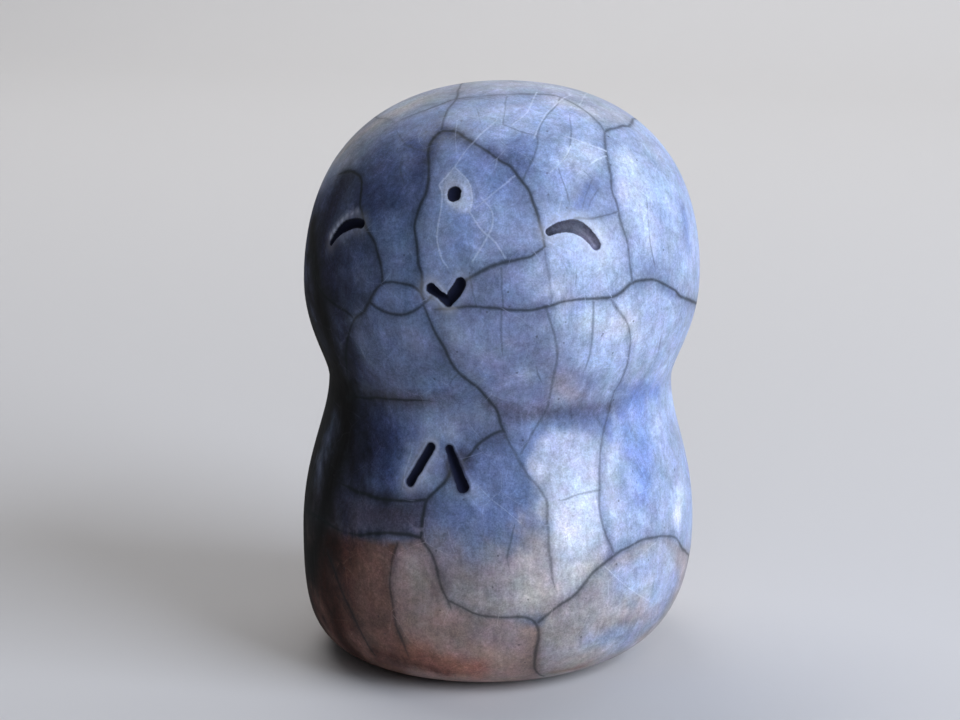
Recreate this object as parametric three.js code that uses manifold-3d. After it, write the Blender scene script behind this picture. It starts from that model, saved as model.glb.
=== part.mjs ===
// Jizo figure: a small hollow figure hand-built in clay, burnished and smoke-fired.
// Two pinched pots are luted rim to rim at the neck with slip, and a slab luted on below
// closes the body. A vent in the slab lets the air out while the clay is in the fire.
// Millimetres, +Z up. The foot stands on Z = 0 and the face looks along -Y, so that the
// figure's right hand is on the -X side.

import * as THREE from 'three';
import { mergeVertices } from 'three/addons/utils/BufferGeometryUtils.js';
import Module from 'manifold-3d';

const wasm = await Module();
wasm.setup();

// Outline: rises are stacked from the floor up, widths run across the figure, and the head
// is as wide as the body but for a small inset on each side
const BELLY_RISE = 16.5;
const NECK_RISE = 20.5;
const TEMPLE_RISE = 13;
const CROWN_RISE = 25;
const FOOT_WIDTH = 26;
const BELLY_WIDTH = 51.6;
const NECK_WIDTH = 44.6;
const TEMPLE_INSET = 0.2;

// Fullness: the share of its rise or reach that a curve runs on before it turns
const FOOT_FULLNESS = 0.72;
const BELLY_FULLNESS = 0.5;
const SHOULDER_FULLNESS = 0.3;
const CHIN_FULLNESS = 0.2;
const CHEEK_FULLNESS = 0.5;
const CROWN_FULLNESS = 0.64;

// Hand-built sway: the crown leans to the figure's left, the foot sits to its right
const CROWN_LEAN = 1.2;
const FOOT_SHIFT = 1.8;

// Clay thicknesses
const WALL = 5;
const SLIP = 0.8;
const SLAB = 5;
const VENT_WIDTH = 7;

// Strokes drawn in the leather-hard clay with a round-ended stick
const STROKE_WIDTH = 1.2;
const STROKE_DEPTH = 0.6;

// Forehead mark: a poked hole, its lift measured from the middle of the head
const BROW_MARK_WIDTH = 1.7;
const BROW_MARK_DEPTH = 1.4;
const BROW_MARK_LIFT = 33;

// Closed eyes: arcs on either side of the face, each drawn by hand with a place of its own
const EYE_SPAN = 6.2;
const RIGHT_EYE_TURN = -37;
const RIGHT_EYE_LIFT = 19;
const RIGHT_EYE_ARCH = 0.8;
const RIGHT_EYE_TILT = 31;
const LEFT_EYE_TURN = 35.6;
const LEFT_EYE_LIFT = 20.8;
const LEFT_EYE_ARCH = 1.5;
const LEFT_EYE_TILT = -19;

// Mouth: two short strokes that meet below
const MOUTH_LIFT = 6.3;
const MOUTH_WIDTH = 3.8;
const MOUTH_HEIGHT = 1.8;
const MOUTH_TILT = 10;

// Hands: two strokes that lean together, a little to the figure's right of the middle
const HANDS_DROP = 6.4;
const HANDS_TURN = -3.7;
const HANDS_GAP = 2.4;
const HANDS_LENGTH = 4.4;
const RIGHT_HAND_REACH = 2.4;
const LEFT_HAND_REACH = 2.1;

// Facets
const AROUND = 60;
const CURVE_STEPS = 9;
const VENT_SIDES = 24;
const STICK_SIDES = 10;
const STROKE_STEPS = 6;

// Stations of the outline
const bellyHeight = BELLY_RISE;
const neckHeight = bellyHeight + NECK_RISE;
const templeHeight = neckHeight + TEMPLE_RISE;
const crownHeight = templeHeight + CROWN_RISE;
const footRadius = FOOT_WIDTH / 2;
const bellyRadius = BELLY_WIDTH / 2;
const neckRadius = NECK_WIDTH / 2;
const templeRadius = bellyRadius - TEMPLE_INSET;

// Joint faces: slip lies on the slab, and between the two rims at the neck
const bodyFloor = SLAB + SLIP;
const bodyRim = neckHeight - SLIP / 2;
const headRim = neckHeight + SLIP / 2;

// Adds the dome of the head to an outline that has come up to the temples
function addDome(path, radius, crown) {
  const handle = templeHeight + CROWN_FULLNESS * (crown - templeHeight);
  path.bezierCurveTo(radius, handle, CROWN_FULLNESS * radius, crown, 0, crown);
}

// The outside of the whole figure as (radius, height) points, from the foot to the crown
function outerOutline() {
  const path = new THREE.Path();
  path.moveTo(footRadius, 0);
  path.bezierCurveTo(
    footRadius + FOOT_FULLNESS * (bellyRadius - footRadius), 0,
    bellyRadius, bellyHeight - FOOT_FULLNESS * BELLY_RISE,
    bellyRadius, bellyHeight,
  );
  path.bezierCurveTo(
    bellyRadius, bellyHeight + BELLY_FULLNESS * NECK_RISE,
    neckRadius, neckHeight - SHOULDER_FULLNESS * NECK_RISE,
    neckRadius, neckHeight,
  );
  path.bezierCurveTo(
    neckRadius, neckHeight + CHIN_FULLNESS * TEMPLE_RISE,
    templeRadius, templeHeight - CHEEK_FULLNESS * TEMPLE_RISE,
    templeRadius, templeHeight,
  );
  addDome(path, templeRadius, crownHeight);
  return path.getPoints(CURVE_STEPS);
}

// The inside of both pots: the outside taken in by the wall, under a dome of its own.
// Three curves of the outside lie below the temples: foot, shoulder and cheek
const CURVES_BELOW_TEMPLES = 3;
function innerOutline(outer) {
  const below = outer.slice(0, CURVES_BELOW_TEMPLES * CURVE_STEPS);
  const walls = below.map((point) => new THREE.Vector2(point.x - WALL, point.y));
  const dome = new THREE.Path();
  dome.moveTo(templeRadius - WALL, templeHeight);
  addDome(dome, templeRadius - WALL, crownHeight - WALL);
  return [...walls, ...dome.getPoints(CURVE_STEPS)];
}

// The point of an outline at a height
function atHeight(outline, height) {
  const next = Math.max(1, outline.findIndex((point) => point.y >= height));
  const below = outline[next - 1];
  const above = outline[next];
  const share = (height - below.y) / (above.y - below.y);
  return new THREE.Vector2(THREE.MathUtils.lerp(below.x, above.x, share), height);
}

// The stretch of an outline between two heights, going up
function stretch(outline, low, high) {
  const between = outline.filter((point) => point.y > low && point.y < high);
  return [atHeight(outline, low), ...between, atHeight(outline, high)];
}

// How far the figure stands off its axis, along X, at a height
function sway(height) {
  const underBelly = Math.max(0, 1 - height / bellyHeight);
  return CROWN_LEAN * (height / crownHeight - 0.5) - FOOT_SHIFT * underBelly ** 2;
}

// Makes a profile into a round piece with the sway of the figure
const LATHE_TO_UPRIGHT = new THREE.Matrix4().makeBasis(
  new THREE.Vector3(1, 0, 0),
  new THREE.Vector3(0, 0, 1),
  new THREE.Vector3(0, -1, 0),
);
function thrown(profile) {
  const geometry = new THREE.LatheGeometry(profile, AROUND);
  geometry.applyMatrix4(LATHE_TO_UPRIGHT);
  const place = geometry.attributes.position;
  for (let i = 0; i < place.count; i += 1) {
    place.setX(i, place.getX(i) + sway(place.getZ(i)));
  }
  return geometry;
}

// A wall between two heights, open at both ends
function ring(outer, inner, low, high) {
  const inside = stretch(inner, low, high).reverse();
  const outside = stretch(outer, low, high);
  return thrown([...inside, ...outside, inside[0].clone()]);
}

// Solids for cutting, and back to geometry
function solidOf(geometry) {
  const bare = geometry.clone();
  bare.deleteAttribute('normal');
  bare.deleteAttribute('uv');
  const merged = mergeVertices(bare);
  const corners = merged.index.array;
  const triVerts = [];
  for (let i = 0; i < corners.length; i += 3) {
    const [a, b, c] = corners.slice(i, i + 3);
    if (a !== b && b !== c && c !== a) triVerts.push(a, b, c);
  }
  return new wasm.Manifold(new wasm.Mesh({
    numProp: 3,
    vertProperties: merged.attributes.position.array,
    triVerts: new Uint32Array(triVerts),
  }));
}

function geometryOf(solid) {
  const { vertProperties, triVerts } = solid.getMesh();
  const geometry = new THREE.BufferGeometry();
  geometry.setAttribute('position', new THREE.BufferAttribute(vertProperties, 3));
  geometry.setIndex(new THREE.BufferAttribute(triVerts, 1));
  geometry.computeVertexNormals();
  return geometry;
}

// A round-ended stick swept along a path
function stick(path, radius) {
  const section = new THREE.Shape().absarc(0, 0, radius, 0, 2 * Math.PI);
  const sweep = new THREE.ExtrudeGeometry(section, {
    steps: STROKE_STEPS,
    curveSegments: STICK_SIDES / 2,
    extrudePath: path,
  });
  const ends = [path.getPoint(0), path.getPoint(1)].map((end) => {
    const ball = new THREE.SphereGeometry(radius, STICK_SIDES, STICK_SIDES / 2);
    return solidOf(ball.translate(end.x, end.y, end.z));
  });
  return ends.reduce((tool, end) => tool.add(end), solidOf(sweep));
}

// A card held square to a line from the figure's axis, on which marks are drawn flat
// before they are pressed straight in: turn is round the figure, lift is upwards
function card(height, turn, lift) {
  const round = THREE.MathUtils.degToRad(turn);
  const upwards = THREE.MathUtils.degToRad(lift);
  const right = new THREE.Vector3(Math.cos(round), Math.sin(round), 0);
  const out = new THREE.Vector3(Math.sin(round), -Math.cos(round), 0)
    .multiplyScalar(Math.cos(upwards))
    .setZ(Math.sin(upwards));
  const up = out.clone().cross(right);
  const middle = new THREE.Vector3(sway(height), 0, height);
  return { right, up, out, middle };
}

// Where a flat point of a card meets the skin of a piece
function pressed(skin, onCard, flat) {
  const { right, up, out, middle } = onCard;
  const standOff = Math.max(BELLY_WIDTH, crownHeight);
  const from = middle.clone()
    .addScaledVector(right, flat.x)
    .addScaledVector(up, flat.y)
    .addScaledVector(out, standOff);
  const [hit] = new THREE.Raycaster(from, out.clone().negate()).intersectObject(skin);
  return hit.point;
}

// A stroke along a flat curve, as wide and as deep as the stick leaves it in the skin
function stroke(skin, onCard, curve) {
  const radius = (STROKE_WIDTH ** 2 / 4 + STROKE_DEPTH ** 2) / (2 * STROKE_DEPTH);
  const laid = curve.getPoints(STROKE_STEPS).map((flat) => {
    return pressed(skin, onCard, flat).addScaledVector(onCard.out, radius - STROKE_DEPTH);
  });
  return stick(new THREE.CatmullRomCurve3(laid), radius);
}

// A hole poked straight in by the end of a stick
function poke(skin, onCard, width, depth) {
  const mouth = pressed(skin, onCard, new THREE.Vector2(0, 0));
  const start = mouth.clone().addScaledVector(onCard.out, width);
  const end = mouth.clone().addScaledVector(onCard.out, width / 2 - depth);
  return stick(new THREE.LineCurve3(start, end), width / 2);
}

// A flat point of a mark, tilted about the mark's own middle
const MARK_MIDDLE = new THREE.Vector2();
function flatPoint(x, y, tilt = 0) {
  return new THREE.Vector2(x, y).rotateAround(MARK_MIDDLE, THREE.MathUtils.degToRad(tilt));
}

// One closed eye as a flat arc
function eyeArc(arch, tilt) {
  return new THREE.QuadraticBezierCurve(
    flatPoint(-EYE_SPAN / 2, 0, tilt),
    flatPoint(0, 2 * arch, tilt),
    flatPoint(EYE_SPAN / 2, 0, tilt),
  );
}

// Everything pressed into the head
function faceMarks(skin) {
  const brow = card(templeHeight, 0, BROW_MARK_LIFT);
  const rightEye = card(templeHeight, RIGHT_EYE_TURN, RIGHT_EYE_LIFT);
  const leftEye = card(templeHeight, LEFT_EYE_TURN, LEFT_EYE_LIFT);
  const mouth = card(templeHeight, 0, MOUTH_LIFT);
  const lip = flatPoint(0, -MOUTH_HEIGHT / 2, MOUTH_TILT);
  const rightCorner = flatPoint(-MOUTH_WIDTH / 2, MOUTH_HEIGHT / 2, MOUTH_TILT);
  const leftCorner = flatPoint(MOUTH_WIDTH / 2, MOUTH_HEIGHT / 2, MOUTH_TILT);
  return [
    poke(skin, brow, BROW_MARK_WIDTH, BROW_MARK_DEPTH),
    stroke(skin, rightEye, eyeArc(RIGHT_EYE_ARCH, RIGHT_EYE_TILT)),
    stroke(skin, leftEye, eyeArc(LEFT_EYE_ARCH, LEFT_EYE_TILT)),
    stroke(skin, mouth, new THREE.LineCurve(rightCorner, lip)),
    stroke(skin, mouth, new THREE.LineCurve(leftCorner, lip)),
  ];
}

// The folded hands, pressed into the body
function handMarks(skin) {
  const chest = card(neckHeight - HANDS_DROP, HANDS_TURN, 0);
  const hand = (fingertip, wrist) => {
    const tip = flatPoint(fingertip, HANDS_LENGTH / 2);
    return stroke(skin, chest, new THREE.LineCurve(tip, flatPoint(wrist, -HANDS_LENGTH / 2)));
  };
  const apart = HANDS_GAP / 2;
  return [
    hand(-apart, -apart - RIGHT_HAND_REACH),
    hand(apart, apart + LEFT_HAND_REACH),
  ];
}

// The vent through the slab, in the middle of the foot
function ventDrill() {
  const drill = new THREE.CylinderGeometry(VENT_WIDTH / 2, VENT_WIDTH / 2, 2 * SLAB, VENT_SIDES);
  drill.applyMatrix4(LATHE_TO_UPRIGHT);
  return drill.translate(sway(0), 0, SLAB / 2);
}

// A named piece, with whatever is cut out of it
function piece(name, geometry, finish, cutters = () => []) {
  const mesh = new THREE.Mesh(geometry, finish);
  const cut = cutters(mesh).reduce((solid, tool) => solid.subtract(tool), solidOf(geometry));
  mesh.geometry = geometryOf(cut);
  mesh.name = name;
  return mesh;
}

// Smoked clay: the crackled blue skin, the rust-red foot, and the dark slip in the joints
function clay(color, roughness) {
  return new THREE.MeshStandardMaterial({ color, roughness, metalness: 0 });
}

const outer = outerOutline();
const inner = innerOutline(outer);

const headProfile = [
  ...stretch(inner, headRim, crownHeight - WALL).reverse(),
  ...stretch(outer, headRim, crownHeight),
];
const slabProfile = [
  new THREE.Vector2(0, 0),
  ...stretch(outer, 0, SLAB),
  new THREE.Vector2(0, SLAB),
];

const head = new THREE.Group();
head.add(piece('head_shell', thrown(headProfile), clay(0x8f9bc2, 0.4), faceMarks));

const joint = new THREE.Group();
joint.add(piece('neck_slip', ring(outer, inner, bodyRim, headRim), clay(0x77788c, 0.5)));

const body = new THREE.Group();
body.add(piece('body_shell', ring(outer, inner, bodyFloor, bodyRim), clay(0x8d8fae, 0.4), handMarks));

const foot = new THREE.Group();
foot.add(piece('base_slip', ring(outer, inner, SLAB, bodyFloor), clay(0x6d5f63, 0.5)));
foot.add(piece('base_slab', thrown(slabProfile), clay(0x96796f, 0.55), () => [solidOf(ventDrill())]));

const jizoFigure = new THREE.Group();
jizoFigure.add(head, joint, body, foot);

export default jizoFigure;
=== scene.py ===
"""A hand-built jizo figure in burnished, smoke-fired crackle clay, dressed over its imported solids.

The skin is turned, pressed and painted in one, so that no joint shows on it, and is then parted at
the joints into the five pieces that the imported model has.
"""

import logging
import math
from dataclasses import dataclass
from enum import Enum
from typing import Any

import bmesh
import bpy
import numpy as np
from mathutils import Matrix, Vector, noise
from mathutils.bvhtree import BVHTree
from mathutils.geometry import interpolate_bezier
from mathutils.kdtree import KDTree


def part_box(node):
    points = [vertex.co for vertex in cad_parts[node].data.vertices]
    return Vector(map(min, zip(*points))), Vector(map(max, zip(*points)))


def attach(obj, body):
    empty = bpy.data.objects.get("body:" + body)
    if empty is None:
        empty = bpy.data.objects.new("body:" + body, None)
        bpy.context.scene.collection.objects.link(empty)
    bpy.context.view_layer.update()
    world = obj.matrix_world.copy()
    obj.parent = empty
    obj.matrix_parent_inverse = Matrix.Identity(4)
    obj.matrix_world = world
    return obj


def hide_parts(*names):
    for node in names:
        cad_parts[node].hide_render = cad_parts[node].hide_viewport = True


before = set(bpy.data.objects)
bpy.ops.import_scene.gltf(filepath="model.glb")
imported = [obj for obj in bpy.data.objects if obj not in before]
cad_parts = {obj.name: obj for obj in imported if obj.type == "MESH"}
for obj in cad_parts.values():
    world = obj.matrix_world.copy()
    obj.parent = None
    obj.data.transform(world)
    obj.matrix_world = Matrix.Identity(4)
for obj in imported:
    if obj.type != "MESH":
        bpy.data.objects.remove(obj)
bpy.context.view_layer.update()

LOG = logging.getLogger("jizo")
MM = 0.001
BODY = "root"

# What the skin remembers at each point, for its finish to read.
SKIN_NORMAL = "skin_normal"
TONE = "tone"
CRACK = "crack"
INK = "ink"
STAIN = "stain"
HAIR = "hair"
CRAZE = "craze"
PRESSED = "pressed"
# A pale halo beside the marks, partly the clay's own and partly painted highlight on their lips.
GLOW = "halo_and_highlight"
FAR_AWAY = 40.0

# The sockets of a colour mix.
MIX_FACTOR, MIX_A, MIX_B, MIX_RESULT = 0, 6, 7, 2

# Most of a noise lies between these.
NOISE_BULK = (0.3, 0.7)


def by_eye(hex_colour: str) -> np.ndarray:
    """The red, green and blue of a hex colour, from nought to one, as the eye steps them."""
    return np.array([int(hex_colour[i:i + 2], 16) / 255.0 for i in (1, 3, 5)])


def to_light(colours: np.ndarray) -> np.ndarray:
    """Turns sRGB colours to linear light."""
    return np.where(colours <= 0.04045, colours / 12.92, ((colours + 0.055) / 1.055) ** 2.4)


def to_linear(hex_colour: str) -> tuple[float, float, float, float]:
    """The linear light of an sRGB hex colour, with an alpha of one."""
    return (*to_light(by_eye(hex_colour)).tolist(), 1.0)


def direction(turn: float, rise: float) -> Vector:
    """The way that is turned so many degrees from the face and raised by so many."""
    turn, rise = math.radians(turn), math.radians(rise)
    return Vector((math.sin(turn) * math.cos(rise), -math.cos(turn) * math.cos(rise), math.sin(rise)))


def per_metre(size_mm: float) -> float:
    """How many times a pattern of this size in millimetres repeats in a metre."""
    return 1.0 / (size_mm * MM)


def add_node(tree: bpy.types.NodeTree, kind: str, inputs: dict | None = None, **settings: Any) -> Any:
    """Adds a node with its settings, its values and its links.

    Args:
        tree: the material's or world's nodes.
        kind: the node's Blender type.
        inputs: a value, or a socket to link from, for each input by name or number.
        settings: properties of the node itself.

    Returns:
        The new node.
    """
    node = tree.nodes.new(kind)
    for name, value in settings.items():
        setattr(node, name, value)
    feed(tree, node, inputs or {})
    return node


def feed(tree: bpy.types.NodeTree, node: bpy.types.Node, inputs: dict) -> None:
    """Gives a node's inputs their values, or links them from sockets.

    Args:
        tree: the nodes that it is one of.
        node: the node.
        inputs: a value, or a socket to link from, for each input by name or number.
    """
    for socket, value in inputs.items():
        if isinstance(value, bpy.types.NodeSocket):
            tree.links.new(value, node.inputs[socket])
        else:
            node.inputs[socket].default_value = value


class Weave:
    """A material's nodes, with short words for those that come up most."""

    def __init__(self, name: str) -> None:
        """Starts a material.

        Args:
            name: the real material's name.
        """
        self.material = bpy.data.materials.new(name)
        self.material.use_nodes = True
        self.tree = self.material.node_tree
        self.place = self.add("ShaderNodeTexCoord").outputs["Object"]

    def add(self, kind: str, inputs: dict | None = None, **settings: Any) -> Any:
        """Adds a node to the material."""
        return add_node(self.tree, kind, inputs, **settings)

    def noise(self, size_mm: float, detail: float, out: str | int = 0, **inputs: Any) -> Any:
        """A noise with swells so many millimetres apart."""
        shared = {"Vector": self.place, "Scale": per_metre(size_mm), "Detail": detail}
        return self.add("ShaderNodeTexNoise", shared | inputs).outputs[out]

    def cells(self, size_mm: float, feature: str, out: str, place: Any) -> Any:
        """A net of cells about so many millimetres wide."""
        inputs = {"Vector": place, "Scale": per_metre(size_mm)}
        return self.add("ShaderNodeTexVoronoi", inputs, feature=feature).outputs[out]

    def span(self, value: Any, start: float, end: float, low: float, high: float,
             step: str = "LINEAR") -> Any:
        """Takes a value from one span to another, and no further."""
        inputs = {0: value, 1: start, 2: end, 3: low, 4: high}
        return self.add("ShaderNodeMapRange", inputs, interpolation_type=step).outputs[0]

    def reckon(self, operation: str, *terms: Any) -> Any:
        """Reckons with numbers."""
        return self.add("ShaderNodeMath", dict(enumerate(terms)), operation=operation).outputs[0]

    def blend(self, operation: str, inputs: dict) -> Any:
        """Reckons with colours or places. Input 3 is the factor of a SCALE."""
        return self.add("ShaderNodeVectorMath", inputs, operation=operation).outputs[0]

    def cover(self, share: Any, below: Any, above: Any) -> Any:
        """Lays a share of one colour over another."""
        inputs = {MIX_FACTOR: share, MIX_A: below, MIX_B: above}
        return self.add("ShaderNodeMix", inputs, data_type="RGBA").outputs[MIX_RESULT]

    def bump(self, strength: float, depth_mm: float, height: Any) -> Any:
        """A relief of so many millimetres."""
        inputs = {"Strength": strength, "Distance": depth_mm * MM, "Height": height}
        return self.add("ShaderNodeBump", inputs).outputs["Normal"]

    def finish(self, inputs: dict) -> bpy.types.Material:
        """Feeds the shader, and hands out the material."""
        feed(self.tree, self.tree.nodes["Principled BSDF"], inputs)
        return self.material


Pairs = tuple[tuple[float, float], ...]
Triples = tuple[tuple[float, float, float], ...]


class Plot(Enum):
    """How the points of a line or a dab are written down."""

    PICTURE = "points of the picture, 960 wide and 720 high"
    ROUND = "degrees round from the face, and millimetres up"


class Tone(Enum):
    """The colours that the smoke and the heat left in the clay; the soot also serves as painted shade, and one
    grey is a painted sheen.
    """

    PERIWINKLE = "#8195be"
    COBALT = "#788ec8"
    HAZE = "#909ebf"
    MIST = "#a4b3d1"
    POWDER = "#adbbda"
    CHALK = "#c8d1e4"
    SLATE = "#68799f"
    STORM = "#475271"
    NAVY = "#39456c"
    INDIGO = "#23263b"
    DUSK = "#4a4455"
    # Soot-black, also laid as painted shade on the side turned from the lights.
    SOOT_AND_SHADE = "#060607"
    # A painted sheen: the pale grey where the crown reflects the bright surroundings.
    PAINTED_SHEEN = "#b0b4be"
    LILAC = "#8089a9"
    MAUVE = "#8d8287"
    SAND = "#aca4a2"
    ROSE = "#a0877f"
    TERRACOTTA = "#976353"
    UMBER = "#7a594f"
    MAROON = "#4c302a"
    PEWTER = "#6f7083"
    IRON = "#3b3d4a"
    EMBER = "#2a140f"
    PEARL = "#c4bebc"
    SNOW = "#dfe4ee"
    IRIS = "#5e74b4"


@dataclass(frozen=True)
class PortraitCamera:
    """The camera at the photograph's angle, which also knows what each point of the picture sees."""

    aim_height: float = 37.5 * MM
    azimuth: float = 15.0
    elevation: float = 14.0
    distance: float = 330.0 * MM
    lens: float = 94.65
    sensor: float = 36.0
    picture_width: float = 960.0
    picture_height: float = 720.0
    aim_x: float = 500.2
    aim_y: float = 368.3

    def back(self) -> Vector:
        """The direction from the figure to the camera."""
        return direction(self.azimuth, self.elevation)

    def axes(self) -> tuple[Vector, Vector, Vector]:
        """The camera's own directions.

        Returns:
            To its right, above it and behind it, each of length one.
        """
        back = self.back()
        right = Vector((0.0, 0.0, 1.0)).cross(back).normalized()
        return right, back.cross(right), back

    def focal(self) -> float:
        """The lens's length, in pixels."""
        return self.lens / self.sensor * self.picture_width

    def place(self) -> Vector:
        """Where the camera stands."""
        return Vector((0.0, 0.0, self.aim_height)) + self.back() * self.distance

    def sight(self, x: float, y: float) -> Vector:
        """The direction in which the camera sees a point of the picture.

        Args:
            x: pixels from the picture's left edge.
            y: pixels from its top edge.

        Returns:
            A direction of length one.
        """
        right, up, back = self.axes()
        across, above = (x - self.aim_x) / self.focal(), (self.aim_y - y) / self.focal()
        return (right * across + up * above - back).normalized()

    def picture(self, co: np.ndarray) -> tuple[np.ndarray, np.ndarray]:
        """Finds where points show in the picture.

        Args:
            co: the points, one a row.

        Returns:
            Pixels from the picture's left edge, and from its top edge.
        """
        right, up, back = (np.array(axis) for axis in self.axes())
        seen = co - np.array(self.place())
        far = -seen @ back
        return self.aim_x + self.focal() * (seen @ right) / far, self.aim_y - self.focal() * (seen @ up) / far

    def pixel(self) -> float:
        """A pixel's size at the figure, in metres."""
        return self.distance * self.sensor / self.lens / self.picture_width

    def build(self) -> bpy.types.Object:
        """Makes the camera and hands it to the scene.

        Returns:
            The camera's object.
        """
        data = bpy.data.cameras.new("portrait_camera")
        data.lens, data.sensor_width = self.lens, self.sensor
        data.shift_x = (self.picture_width / 2 - self.aim_x) / self.picture_width
        data.shift_y = (self.aim_y - self.picture_height / 2) / self.picture_width
        camera = bpy.data.objects.new("portrait_camera", data)
        camera.location = self.place()
        camera.rotation_euler = (-self.back()).to_track_quat("-Z", "Y").to_euler()
        bpy.context.scene.collection.objects.link(camera)
        bpy.context.scene.camera = camera
        return camera


@dataclass(frozen=True)
class FigureForm:
    """The outside of the figure: one turned outline, with the sway that the maker's hand left in it.

    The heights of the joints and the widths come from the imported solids.
    """

    slab_top: float
    body_floor: float
    body_rim: float
    head_rim: float
    crown: float
    belly_radius: float
    neck_radius: float
    temple_radius: float
    belly_height: float = 16.5 * MM
    neck_height: float = 37.0 * MM
    temple_height: float = 50.0 * MM
    foot_radius: float = 13.0 * MM
    vent_radius: float = 3.5 * MM
    wall: float = 5.0 * MM
    crown_lean: float = 1.2 * MM
    foot_shift: float = 1.8 * MM
    foot_fullness: float = 0.72
    belly_fullness: float = 0.5
    shoulder_fullness: float = 0.3
    chin_fullness: float = 0.2
    cheek_fullness: float = 0.5
    crown_fullness: float = 0.64
    curve_points: int = 160
    foot_end: float = 2.0 * MM
    crown_end: float = 66.0 * MM

    @classmethod
    def from_frame(cls) -> "FigureForm":
        """Reads the joints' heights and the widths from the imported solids.

        Returns:
            The form.
        """
        half = {n: (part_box(n)[1].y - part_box(n)[0].y) / 2 for n in ("head_shell", "neck_slip", "body_shell")}
        return cls(
            slab_top=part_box("base_slab")[1].z,
            body_floor=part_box("body_shell")[0].z,
            body_rim=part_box("body_shell")[1].z,
            head_rim=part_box("head_shell")[0].z,
            crown=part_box("head_shell")[1].z,
            belly_radius=half["body_shell"],
            neck_radius=half["neck_slip"],
            temple_radius=half["head_shell"],
        )

    def curve(self, *handles: tuple[float, float]) -> np.ndarray:
        """One stretch of the outline as (radius, height) rows, from its four Bezier handles."""
        return np.array([tuple(p)[:2] for p in interpolate_bezier(
            *[Vector((r, z, 0.0)) for r, z in handles], self.curve_points)])

    def dome(self, radius: float, top: float) -> np.ndarray:
        """A dome from the temples' height up to the axis.

        Args:
            radius: its radius at the temples.
            top: its height at the axis.

        Returns:
            Rows of radius and height.
        """
        rise = top - self.temple_height
        return self.curve(
            (radius, self.temple_height),
            (radius, self.temple_height + self.crown_fullness * rise),
            (self.crown_fullness * radius, top),
            (0.0, top),
        )

    def outline(self) -> np.ndarray:
        """The whole outside as one curve.

        Returns:
            Rows of radius and height, from the edge of the foot's flat to the crown.
        """
        belly, neck, temple = self.belly_radius, self.neck_radius, self.temple_radius
        low, waist, high = self.belly_height, self.neck_height, self.temple_height
        foot = self.curve(
            (self.foot_radius, 0.0),
            (self.foot_radius + self.foot_fullness * (belly - self.foot_radius), 0.0),
            (belly, low * (1.0 - self.foot_fullness)),
            (belly, low),
        )
        shoulder = self.curve(
            (belly, low),
            (belly, low + self.belly_fullness * (waist - low)),
            (neck, waist - self.shoulder_fullness * (waist - low)),
            (neck, waist),
        )
        cheek = self.curve(
            (neck, waist),
            (neck, waist + self.chin_fullness * (high - waist)),
            (temple, high - self.cheek_fullness * (high - waist)),
            (temple, high),
        )
        return np.concatenate([foot, shoulder[1:], cheek[1:], self.dome(temple, self.crown)[1:]])

    def radius(self, height: np.ndarray | float) -> np.ndarray | float:
        """The outside's radius at a height."""
        outline = self.outline()
        return np.interp(height, outline[:, 1], outline[:, 0])

    def sway(self, height: np.ndarray | float) -> np.ndarray | float:
        """How far the middle stands to the side at a height."""
        foot = np.clip(1.0 - np.asarray(height) / self.belly_height, 0.0, None)
        return self.crown_lean * (height / self.crown - 0.5) - self.foot_shift * foot ** 2

    def rows(self, step: float) -> list[tuple[float, float]]:
        """The rows of the skin, with one at each joint.

        Args:
            step: about how far apart they are.

        Returns:
            Radius and height, from the vent's edge under the foot to the crown.
        """
        outline = self.outline()
        run = np.concatenate([[0.0], np.cumsum(np.hypot(*np.diff(outline, axis=0).T))])
        joints = (self.slab_top, self.body_floor, self.body_rim, self.head_rim)
        stops = [0.0, *np.interp(joints, outline[:, 1], run), run[-1]]
        lengths: list[float] = []
        for start, end in zip(stops, stops[1:]):
            count = max(1, round((end - start) / step))
            lengths += [start + (end - start) * i / count for i in range(count)]
        lengths.append(run[-1])
        flat = np.arange(self.vent_radius, self.foot_radius - step / 2, step)
        rows = [(float(r), 0.0) for r in flat]
        rows += list(zip(np.interp(lengths, run, outline[:, 0]), np.interp(lengths, run, outline[:, 1])))
        return rows

    def inner_rows(self, low: float, high: float, count: int) -> list[tuple[float, float]]:
        """The hollow's wall as (radius, height) rows between two heights.

        Args:
            low: where the wall starts.
            high: where it ends, or the crown for a wall that closes in a dome.
            count: how many rows there are in each stretch.

        Returns:
            The rows from low to high.
        """
        top = min(high, self.temple_height)
        rows = [(float(self.radius(z)) - self.wall, float(z)) for z in np.linspace(low, top, count)]
        if high > self.temple_height:
            dome = self.dome(self.temple_radius - self.wall, self.crown - self.wall)
            rows += [tuple(row) for row in dome[np.linspace(0, len(dome) - 1, count).astype(int)][1:]]
        return rows

    def settle(self, co: np.ndarray) -> np.ndarray:
        """Moves points straight onto the form: outwards on the sides, and up or down at the two ends.

        Args:
            co: the points, one a row.

        Returns:
            The moved points.
        """
        outline = self.outline()
        settled = co.copy()
        height = co[:, 2]
        across, deep = co[:, 0] - self.sway(height), co[:, 1]
        reach = np.maximum(np.hypot(across, deep), 1e-9)
        side = (height > self.foot_end) & (height < self.crown_end)
        grow = self.radius(height) / reach
        settled[side, 0] = (across * grow + self.sway(height))[side]
        settled[side, 1] = (deep * grow)[side]
        dome = outline[outline[:, 1] >= self.temple_height][::-1]
        foot = outline[outline[:, 1] <= self.belly_height]
        top, low = height >= self.crown_end, height <= self.foot_end
        settled[top, 2] = np.interp(reach[top], dome[:, 0], dome[:, 1])
        settled[low, 2] = np.interp(reach[low], foot[:, 0], foot[:, 1], left=0.0)
        return settled

    def standing_on(self, turn: float, height: float) -> Vector:
        """Finds a point of the outside.

        Args:
            turn: degrees round from the face.
            height: metres up.

        Returns:
            The point.
        """
        angle, radius = math.radians(turn), float(self.radius(height))
        return Vector((
            float(self.sway(height)) + radius * math.sin(angle), -radius * math.cos(angle), height))


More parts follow.
